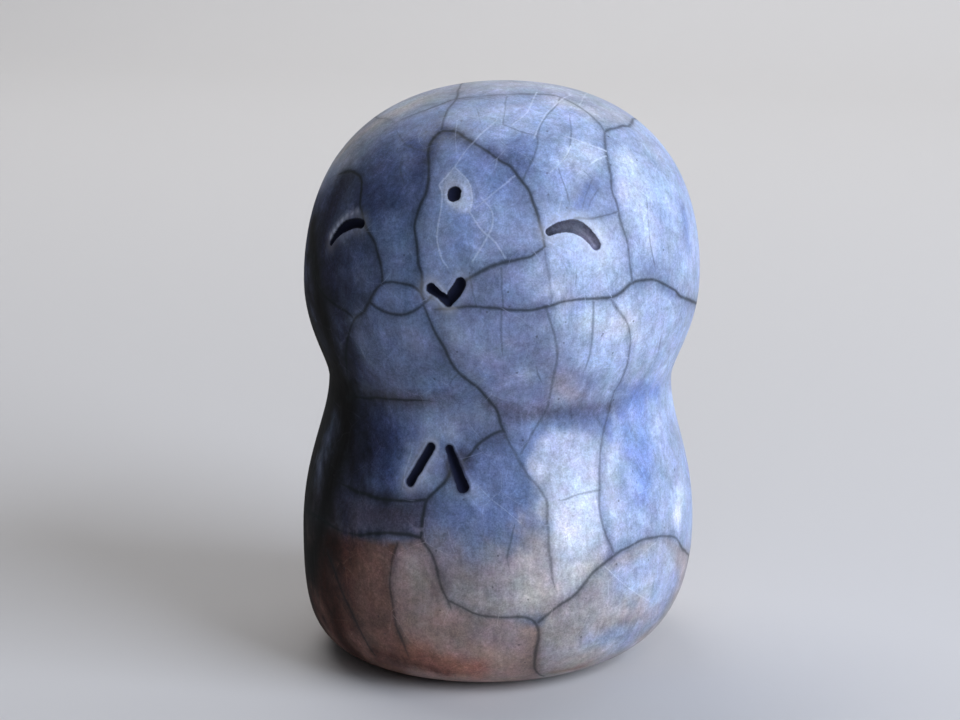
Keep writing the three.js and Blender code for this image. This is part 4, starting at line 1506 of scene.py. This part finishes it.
@dataclass(frozen=True)
class CrackleClay:
    """Burnished clay, smoked through a crackled slip and waxed.

    It gives soft clouds of blue, chalk and rust under grey-green smoke lines, with the low satin
    shine of a stone-burnished, waxed surface.
    """

    name: str = "burnished smoke-fired clay, waxed"
    smoke: str = "#1b2224"
    stain: str = "#23292d"
    hair: str = "#39434d"
    # The whitish halo beside the marks, partly the clay's own and partly painted highlight.
    halo_and_highlight: str = "#dcdde3"
    soot: str = "#12162c"
    speck: str = "#2c2a30"
    ior: float = 1.36
    cloud_mm: float = 6.0
    wisp_mm: float = 2.4
    streak_mm: float = 0.75
    grain_mm: float = 0.5
    dust_mm: float = 0.2
    fray_mm: float = 0.55
    tint_mm: float = 3.0
    speck_mm: float = 2.6
    craze_mm: float = 5.5
    # How much each pattern lightens and darkens the skin.
    cloud_share: float = 0.24
    wisp_share: float = 0.2
    streak_share: float = 0.12
    grain_share: float = 0.12
    dust_share: float = 0.16
    cell_share: float = 0.09
    # Dark clay shows the patterns more: over which light, and by what power.
    dark_span: tuple[float, float] = (0.02, 0.25)
    dark_power: float = 1.6
    tint_spread: tuple[float, float, float] = (0.38, 0.22, 0.36)
    tint_least: tuple[float, float, float] = (0.81, 0.89, 0.82)
    bend_mm: float = 4.0
    bend_reach: float = 1.2 * MM
    streak_tilt: float = 0.12
    streak_stretch: float = 0.16
    # How much the lines' edges sway with the fray.
    fray_span: tuple[float, float] = (0.25, 0.75)
    fray_sway: float = 0.38
    steady_sway: float = 0.18
    # Where a line starts and where it is full, in half widths, and its strength there.
    hair_fade: tuple[float, float, float] = (1.9, 0.0, 0.6)
    crack_fade: tuple[float, float, float] = (2.1, 0.0, 0.82)
    craze_fade: tuple[float, float, float] = (1.8, 0.4, 0.74)
    creep: float = 0.52
    paler_gamma: float = 0.68
    paler_gain: float = 1.12
    # The edges are in shares of a cell, and the patches in values of the clouds.
    net_edge: tuple[float, float] = (0.013, 0.003)
    net_patch: tuple[float, float] = (0.48, 0.62)
    net_strength: float = 0.34
    speck_edge: tuple[float, float] = (0.075, 0.04)
    speck_strength: float = 0.55
    gloss: tuple[float, float] = (0.38, 0.5)
    soot_light: float = 0.14
    soot_dull: float = 0.5
    crack_dull: float = 0.16
    pressed_dull: float = 0.3
    streak_relief: float = 0.3
    skin_relief: float = 0.4
    crack_relief: float = -0.9
    craze_relief: float = 0.6
    relief_mm: float = 0.045
    relief_strength: float = 0.6

    def dress(self) -> bpy.types.Material:
        """Makes the material.

        Returns:
            The material, which reads what the skin remembers at each point.
        """
        weave = Weave(self.name)
        known = {name: weave.add("ShaderNodeAttribute", attribute_name=name).outputs["Fac"]
                 for name in (CRACK, INK, STAIN, HAIR, CRAZE, PRESSED, GLOW)}
        tone = weave.add("ShaderNodeAttribute", attribute_name=TONE).outputs["Color"]
        light = weave.add("ShaderNodeRGBToBW", {0: tone}).outputs[0]

        # Clouds, burnishing streaks that run up and down, and the clay's grain.
        cloud = weave.noise(self.cloud_mm, detail=5.0, Roughness=0.6, Distortion=0.5)
        wisp = weave.noise(self.wisp_mm, detail=4.0, Roughness=0.65, Distortion=1.2)
        drawn_out = weave.add("ShaderNodeMapping", {
            "Vector": weave.place, "Rotation": (0.0, self.streak_tilt, 0.0),
            "Scale": (1.0, 1.0, self.streak_stretch)}).outputs[0]
        streak = weave.noise(self.streak_mm, detail=3.0, Roughness=0.6, Vector=drawn_out)
        grain = weave.noise(self.grain_mm, detail=2.0)
        dust = weave.noise(self.dust_mm, detail=1.0)
        bend = weave.noise(self.bend_mm, detail=1.0, out="Color")
        bend = weave.blend("SCALE", {0: bend, 3: self.bend_reach})
        bent = weave.blend("ADD", {0: weave.place, 1: bend})
        cell = weave.cells(self.craze_mm, "F1", "Color", bent)
        worked: Any = 1.0
        for pattern, spread, share in (
                (cloud, NOISE_BULK, self.cloud_share), (wisp, NOISE_BULK, self.wisp_share),
                (streak, NOISE_BULK, self.streak_share), (grain, NOISE_BULK, self.grain_share),
                (dust, NOISE_BULK, self.dust_share), (cell, (0.0, 1.0), self.cell_share)):
            part = weave.span(pattern, *spread, 1.0 - share, 1.0 + share)
            worked = weave.reckon("MULTIPLY", worked, part)
        worked = weave.reckon("POWER", worked, weave.span(light, *self.dark_span, self.dark_power, 1.0))
        tint = weave.noise(self.tint_mm, detail=4.0, out="Color", Roughness=0.6)
        tint = weave.blend("MULTIPLY_ADD", {0: tint, 1: self.tint_spread, 2: self.tint_least})
        colour = weave.blend("MULTIPLY", {0: weave.blend("SCALE", {0: tone, 3: worked}), 1: tint})

        # The smoke's creep, then the lines themselves, each with an edge frayed by the clay's grain.
        fray = weave.noise(self.fray_mm, detail=2.0)
        frayed, steady = (weave.span(fray, *self.fray_span, 1.0 - sway, 1.0 + sway)
                          for sway in (self.fray_sway, self.steady_sway))
        creep = weave.reckon("MULTIPLY", weave.reckon("MULTIPLY", known[STAIN], frayed), self.creep)
        drawn = {}
        for name, edge, (far, near, full) in (
                (HAIR, steady, self.hair_fade), (CRACK, frayed, self.crack_fade),
                (CRAZE, steady, self.craze_fade)):
            away = weave.reckon("MULTIPLY", known[name], edge)
            drawn[name] = weave.span(away, far, near, 0.0, full, "SMOOTHSTEP")
        drawn[CRACK] = weave.reckon("MULTIPLY", drawn[CRACK], known[INK])
        paler = weave.add("ShaderNodeGamma", {"Color": colour, "Gamma": self.paler_gamma}).outputs[0]
        paler = weave.blend("SCALE", {0: paler, 3: self.paler_gain})

        # A faint net of craze over all, showing in patches, and specks.
        net = weave.cells(self.craze_mm, "DISTANCE_TO_EDGE", "Distance", bent)
        net = weave.span(net, *self.net_edge, 0.0, self.net_strength, "SMOOTHSTEP")
        net = weave.reckon("MULTIPLY", net, weave.span(cloud, *self.net_patch, 0.0, 1.0))
        speck = weave.cells(self.speck_mm, "F1", "Distance", weave.place)
        speck = weave.span(speck, *self.speck_edge, 0.0, self.speck_strength)
        # Then the smoke's creep and lines, the craze, the pale halo with its painted highlight beside the
        # marks, the specks and the pressed soot.
        for share, ink in (
                (creep, to_linear(self.stain)), (drawn[HAIR], to_linear(self.hair)),
                (drawn[CRACK], to_linear(self.smoke)), (drawn[CRAZE], paler), (net, paler),
                (known[GLOW], to_linear(self.halo_and_highlight)), (speck, to_linear(self.speck)),
                (known[PRESSED], to_linear(self.soot))):
            colour = weave.cover(share, colour, ink)

        # Soot, the lines and the pressed marks are duller than the waxed skin.
        sooty = weave.span(light, 0.0, self.soot_light, self.soot_dull, 0.0)
        dull = weave.reckon("ADD", weave.span(streak, *NOISE_BULK, *self.gloss), sooty)
        dull = weave.reckon("MULTIPLY_ADD", drawn[CRACK], self.crack_dull, dull)
        dull = weave.reckon("MULTIPLY_ADD", known[PRESSED], self.pressed_dull, dull)

        # Relief: the streaks and the grain of the burnishing, the smoke lines a hair below the skin and the
        # craze a hair above it.
        relief = weave.reckon("MULTIPLY_ADD", streak, self.streak_relief, grain)
        relief = weave.reckon("MULTIPLY", relief, self.skin_relief)
        relief = weave.reckon("MULTIPLY_ADD", drawn[CRACK], self.crack_relief, relief)
        relief = weave.reckon("MULTIPLY_ADD", drawn[CRAZE], self.craze_relief, relief)
        return weave.finish({
            "Base Color": colour, "Roughness": dull, "IOR": self.ior,
            "Normal": weave.bump(self.relief_strength, self.relief_mm, relief)})


@dataclass(frozen=True)
class BareClay:
    """Bare smoked earthenware, wiped but not burnished.

    It is a matt, gritty brown-grey, with soot in clouds, as on the underside of the foot.
    """

    name: str = "bare smoked earthenware"
    clay: str = "#8a6657"
    sooted: str = "#4a3d3d"
    roughness: float = 0.82
    ior: float = 1.5
    cloud_mm: float = 7.0
    grit_mm: float = 0.4
    soot_span: tuple[float, float] = (0.4, 0.62)
    soot_share: float = 0.9
    fleck: tuple[float, float] = (0.82, 1.16)
    relief_mm: float = 0.05
    relief_strength: float = 0.7

    def dress(self) -> bpy.types.Material:
        """Makes the material.

        Returns:
            The material.
        """
        weave = Weave(self.name)
        cloud = weave.noise(self.cloud_mm, detail=5.0, Roughness=0.65)
        sooty = weave.span(cloud, *self.soot_span, 0.0, self.soot_share)
        colour = weave.cover(sooty, to_linear(self.clay), to_linear(self.sooted))
        grit = weave.noise(self.grit_mm, detail=3.0)
        colour = weave.blend("SCALE", {0: colour, 3: weave.span(grit, *NOISE_BULK, *self.fleck)})
        return weave.finish({
            "Base Color": colour, "Roughness": self.roughness, "IOR": self.ior,
            "Normal": weave.bump(self.relief_strength, self.relief_mm, grit)})


@dataclass
class ClayPiece:
    """A piece of the figure: a band of the skin, closed behind by its wall.

    The node is the solid that it stands for. The slot is not used.
    """

    node: str
    slot: str
    low: float
    high: float
    wall_rows: int = 2
    weld: float = 0.001 * MM
    loop_slack: float = 0.02 * MM

    def build(self, skin: ClaySkin, finishes: list[bpy.types.Material]) -> bpy.types.Object:
        """Parts the piece from the skin, closes it and hands it to the frame.

        Args:
            skin: the whole skin.
            finishes: the skin's finish and the bare clay's.

        Returns:
            The piece.
        """
        bm = skin.part(self.low, self.high)
        faces = set(bm.faces)
        for face in bm.faces:
            face.material_index = 0
        self.close(bm, skin.form)
        bare = [f for f in bm.faces if f not in faces]
        for face in bare:
            face.material_index = 1
        for edge in bm.edges:
            edge.smooth = len({f.material_index for f in edge.link_faces}) == 1
        for face in bm.faces:
            face.smooth = True
        self.bare_foot(bm)
        mesh = bpy.data.meshes.new(self.node)
        bm.to_mesh(mesh)
        bm.free()
        for finish in finishes:
            mesh.materials.append(finish)
        self.keep_normals(mesh)
        piece = bpy.data.objects.new("jizo_" + self.node, mesh)
        bpy.context.scene.collection.objects.link(piece)
        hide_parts(self.node)
        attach(piece, BODY)
        LOG.info("%s: %d faces", piece.name, len(mesh.polygons))
        return piece

    def close(self, bm: bmesh.types.BMesh, form: FigureForm) -> None:
        """Closes the band with a ring below, a wall inside and a ring above.

        Args:
            bm: the piece's mesh.
            form: the figure's form.
        """
        rows = form.inner_rows(self.low, self.high, self.wall_rows)
        ring = self.loop_at(bm, self.low)
        top = self.loop_at(bm, self.high)
        for radius, height in rows:
            ring = self.grow(bm, ring, form, radius, height)
        bmesh.ops.bridge_loops(bm, edges=ring + top)
        self.face_out(bm)

    def bare_foot(self, bm: bmesh.types.BMesh) -> None:
        """Leaves the skin as it is: only the base has a bare foot."""

    def loop_at(self, bm: bmesh.types.BMesh, height: float) -> list[bmesh.types.BMEdge]:
        """The open edges at a height."""
        return [e for e in bm.edges
                if e.is_boundary and all(abs(v.co.z - height) < self.loop_slack for v in e.verts)]

    def grow(self, bm: bmesh.types.BMesh, ring: list[bmesh.types.BMEdge], form: FigureForm, radius: float,
             height: float) -> list[bmesh.types.BMEdge]:
        """Extrudes a ring of edges to another radius and height.

        Args:
            bm: the piece's mesh.
            ring: the edges to extrude.
            form: the figure's form, for its sway.
            radius: the new radius.
            height: the new height.

        Returns:
            The new ring.
        """
        grown = bmesh.ops.extrude_edge_only(bm, edges=ring)["geom"]
        verts = {v for v in grown if isinstance(v, bmesh.types.BMVert)}
        for vert in verts:
            angle = math.atan2(vert.co.y, vert.co.x - float(form.sway(vert.co.z)))
            vert.co = (float(form.sway(height)) + radius * math.cos(angle), radius * math.sin(angle), height)
        return [e for e in grown if isinstance(e, bmesh.types.BMEdge) and set(e.verts) <= verts]

    def face_out(self, bm: bmesh.types.BMesh) -> None:
        """Merges what meets, and turns all faces outwards."""
        bmesh.ops.remove_doubles(bm, verts=bm.verts, dist=self.weld)
        bmesh.ops.recalc_face_normals(bm, faces=bm.faces)

    def keep_normals(self, mesh: bpy.types.Mesh) -> None:
        """Gives the skin its own normals, from before it was parted, so that no joint shows.

        Args:
            mesh: the piece's mesh.
        """
        normals = np.zeros(len(mesh.vertices) * 3)
        mesh.attributes[SKIN_NORMAL].data.foreach_get("vector", normals)
        corners = np.zeros(len(mesh.loops), np.int32)
        mesh.loops.foreach_get("vertex_index", corners)
        counts = np.zeros(len(mesh.polygons), np.int32)
        mesh.polygons.foreach_get("loop_total", counts)
        kinds = np.zeros(len(mesh.polygons), np.int32)
        mesh.polygons.foreach_get("material_index", kinds)
        split = normals.reshape(-1, 3)[corners]
        split[np.repeat(kinds, counts) > 0] = 0.0
        mesh.normals_split_custom_set(split.tolist())
        mesh.attributes.remove(mesh.attributes[SKIN_NORMAL])


@dataclass
class HeadShell(ClayPiece):
    """The head, a pinched pot that closes in a dome."""

    def close(self, bm: bmesh.types.BMesh, form: FigureForm) -> None:
        """Closes the head with its rim and the dome of the hollow.

        Args:
            bm: the piece's mesh.
            form: the figure's form.
        """
        ring = self.loop_at(bm, self.low)
        rows = form.inner_rows(self.low, self.high, self.wall_rows)
        for radius, height in rows:
            ring = self.grow(bm, ring, form, max(radius, 0.0), height)
        self.face_out(bm)


@dataclass
class BaseSlab(ClayPiece):
    """The disc that closes the body, with the foot and the vent."""

    vent_round: float = 0.5 * MM
    vent_steps: int = 3
    foot_slack: float = 0.0005 * MM

    def close(self, bm: bmesh.types.BMesh, form: FigureForm) -> None:
        """Closes the base with the vent's wall and the slab's top.

        Args:
            bm: the piece's mesh.
            form: the figure's form.
        """
        ring = self.loop_at(bm, 0.0)
        top = self.loop_at(bm, self.high)
        edge = list(ring)
        for height in (self.high / 2, self.high):
            ring = self.grow(bm, ring, form, form.vent_radius, height)
        bmesh.ops.bridge_loops(bm, edges=ring + top)
        bmesh.ops.bevel(
            bm, geom=edge, offset=self.vent_round, affect="EDGES", segments=self.vent_steps, profile=0.5,
            material=-1)
        self.face_out(bm)

    def bare_foot(self, bm: bmesh.types.BMesh) -> None:
        """Leaves the flat of the foot bare, as the kiln shelf does.

        Args:
            bm: the piece's mesh.
        """
        for face in bm.faces:
            if all(v.co.z < self.foot_slack for v in face.verts):
                face.material_index = 1
                face.smooth = False


@dataclass(frozen=True)
class SoftBox:
    """A soft studio light, by its direction from the figure. Sizes are in metres and power in watts."""

    name: str
    azimuth: float
    elevation: float
    distance: float
    width: float
    height: float
    power: float
    colour: str = "#ffffff"
    lights_wall: bool = False

    def build(self, aim: Vector, wall: Vector) -> bpy.types.Object:
        """Hangs the light and turns it to the figure, or to the wall behind.

        Args:
            aim: the middle of the figure.
            wall: a point of the wall.

        Returns:
            The light's object.
        """
        data = bpy.data.lights.new(self.name, "AREA")
        data.shape, data.size, data.size_y = "RECTANGLE", self.width, self.height
        data.energy, data.color = self.power, to_linear(self.colour)[:3]
        light = bpy.data.objects.new(self.name, data)
        light.location = aim + direction(self.azimuth, self.elevation) * self.distance
        sight = (wall if self.lights_wall else aim) - light.location
        light.rotation_euler = sight.to_track_quat("-Z", "Y").to_euler()
        bpy.context.scene.collection.objects.link(light)
        return light


@dataclass(frozen=True)
class Studio:
    """A pale paper sweep and soft lights."""

    paper: str = "#d6d4d1"
    paper_shine: float = 0.1
    surround: str = "#c9ced8"
    surround_strength: float = 0.06
    half_width: float = 2.5
    front: float = -2.5
    bend_start: float = 0.55
    bend_radius: float = 0.3
    bend_steps: int = 16
    wall_height: float = 1.6
    lights: tuple[SoftBox, ...] = (
        SoftBox("key", 72.0, 27.0, 0.75, 0.5, 0.5, 6.4, "#e3ecff"),
        SoftBox("front_fill", 30.0, 38.0, 1.1, 1.0, 0.8, 1.4, "#eef2ff"),
        SoftBox("top", 228.0, 60.0, 0.9, 0.6, 0.4, 2.6, "#f2f1f4"),
        SoftBox("wall_wash", 180.0, 62.0, 0.8, 1.0, 0.3, 3.6, "#f4f4f6", True),
    )

    def build(self, aim: Vector) -> None:
        """Builds the sweep, the surround and the lights.

        Args:
            aim: the middle of the figure.
        """
        self.sweep()
        world = bpy.data.worlds.new("soft surround")
        world.use_nodes = True
        feed(world.node_tree, world.node_tree.nodes["Background"], {
            "Color": to_linear(self.surround), "Strength": self.surround_strength})
        bpy.context.scene.world = world
        for light in self.lights:
            light.build(aim, Vector((0.0, self.bend_start + self.bend_radius, self.bend_radius)))
        bpy.context.scene.view_settings.view_transform = "Standard"

    def sweep(self) -> bpy.types.Object:
        """Makes the floor that bends up into the wall behind.

        Returns:
            The sweep.
        """
        bm = bmesh.new()
        start = bm.verts.new((-self.half_width, self.front, 0.0))
        bend = bm.verts.new((-self.half_width, self.bend_start, 0.0))
        edges = [bm.edges.new((start, bend))]
        turned = bmesh.ops.spin(
            bm, geom=[bend], cent=(-self.half_width, self.bend_start, self.bend_radius), axis=(1, 0, 0),
            angle=math.pi / 2, steps=self.bend_steps)
        last = [v for v in turned["geom_last"] if isinstance(v, bmesh.types.BMVert)][0]
        edges.append(bm.edges.new((last, bm.verts.new(last.co + Vector((0.0, 0.0, self.wall_height))))))
        grown = bmesh.ops.extrude_edge_only(bm, edges=list(bm.edges))["geom"]
        across = Vector((2 * self.half_width, 0.0, 0.0))
        bmesh.ops.translate(bm, verts=[v for v in grown if isinstance(v, bmesh.types.BMVert)], vec=across)
        bmesh.ops.recalc_face_normals(bm, faces=bm.faces)
        for face in bm.faces:
            face.smooth = True
        mesh = bpy.data.meshes.new("paper_sweep")
        bm.to_mesh(mesh)
        bm.free()
        # Matt paper gives the eye a pale, even ground with hardly any shine.
        mesh.materials.append(Weave("pale matt paper").finish({
            "Base Color": to_linear(self.paper), "Roughness": 1.0, "Specular IOR Level": self.paper_shine}))
        sweep = bpy.data.objects.new("paper_sweep", mesh)
        bpy.context.scene.collection.objects.link(sweep)
        return sweep


def main() -> None:
    """Builds the camera, the studio and the figure, and reports each piece."""
    logging.basicConfig(level=logging.INFO, format="%(name)s: %(message)s")
    form = FigureForm.from_frame()
    camera = PortraitCamera()
    camera.build()
    Studio().build(Vector((0.0, 0.0, camera.aim_height)))
    skin = ClaySkin(form, camera)
    skin.build()
    finishes = [CrackleClay().dress(), BareClay().dress()]
    pieces = (
        HeadShell("head_shell", "crackle_clay", form.head_rim, form.crown, wall_rows=5),
        ClayPiece("neck_slip", "luting_slip", form.body_rim, form.head_rim),
        ClayPiece("body_shell", "crackle_clay", form.body_floor, form.body_rim, wall_rows=6),
        ClayPiece("base_slip", "luting_slip", form.slab_top, form.body_floor),
        BaseSlab("base_slab", "smoked_clay", 0.0, form.slab_top),
    )
    for piece in pieces:
        piece.build(skin, finishes)
    skin.bm.free()


if __name__ == "__main__":
    main()
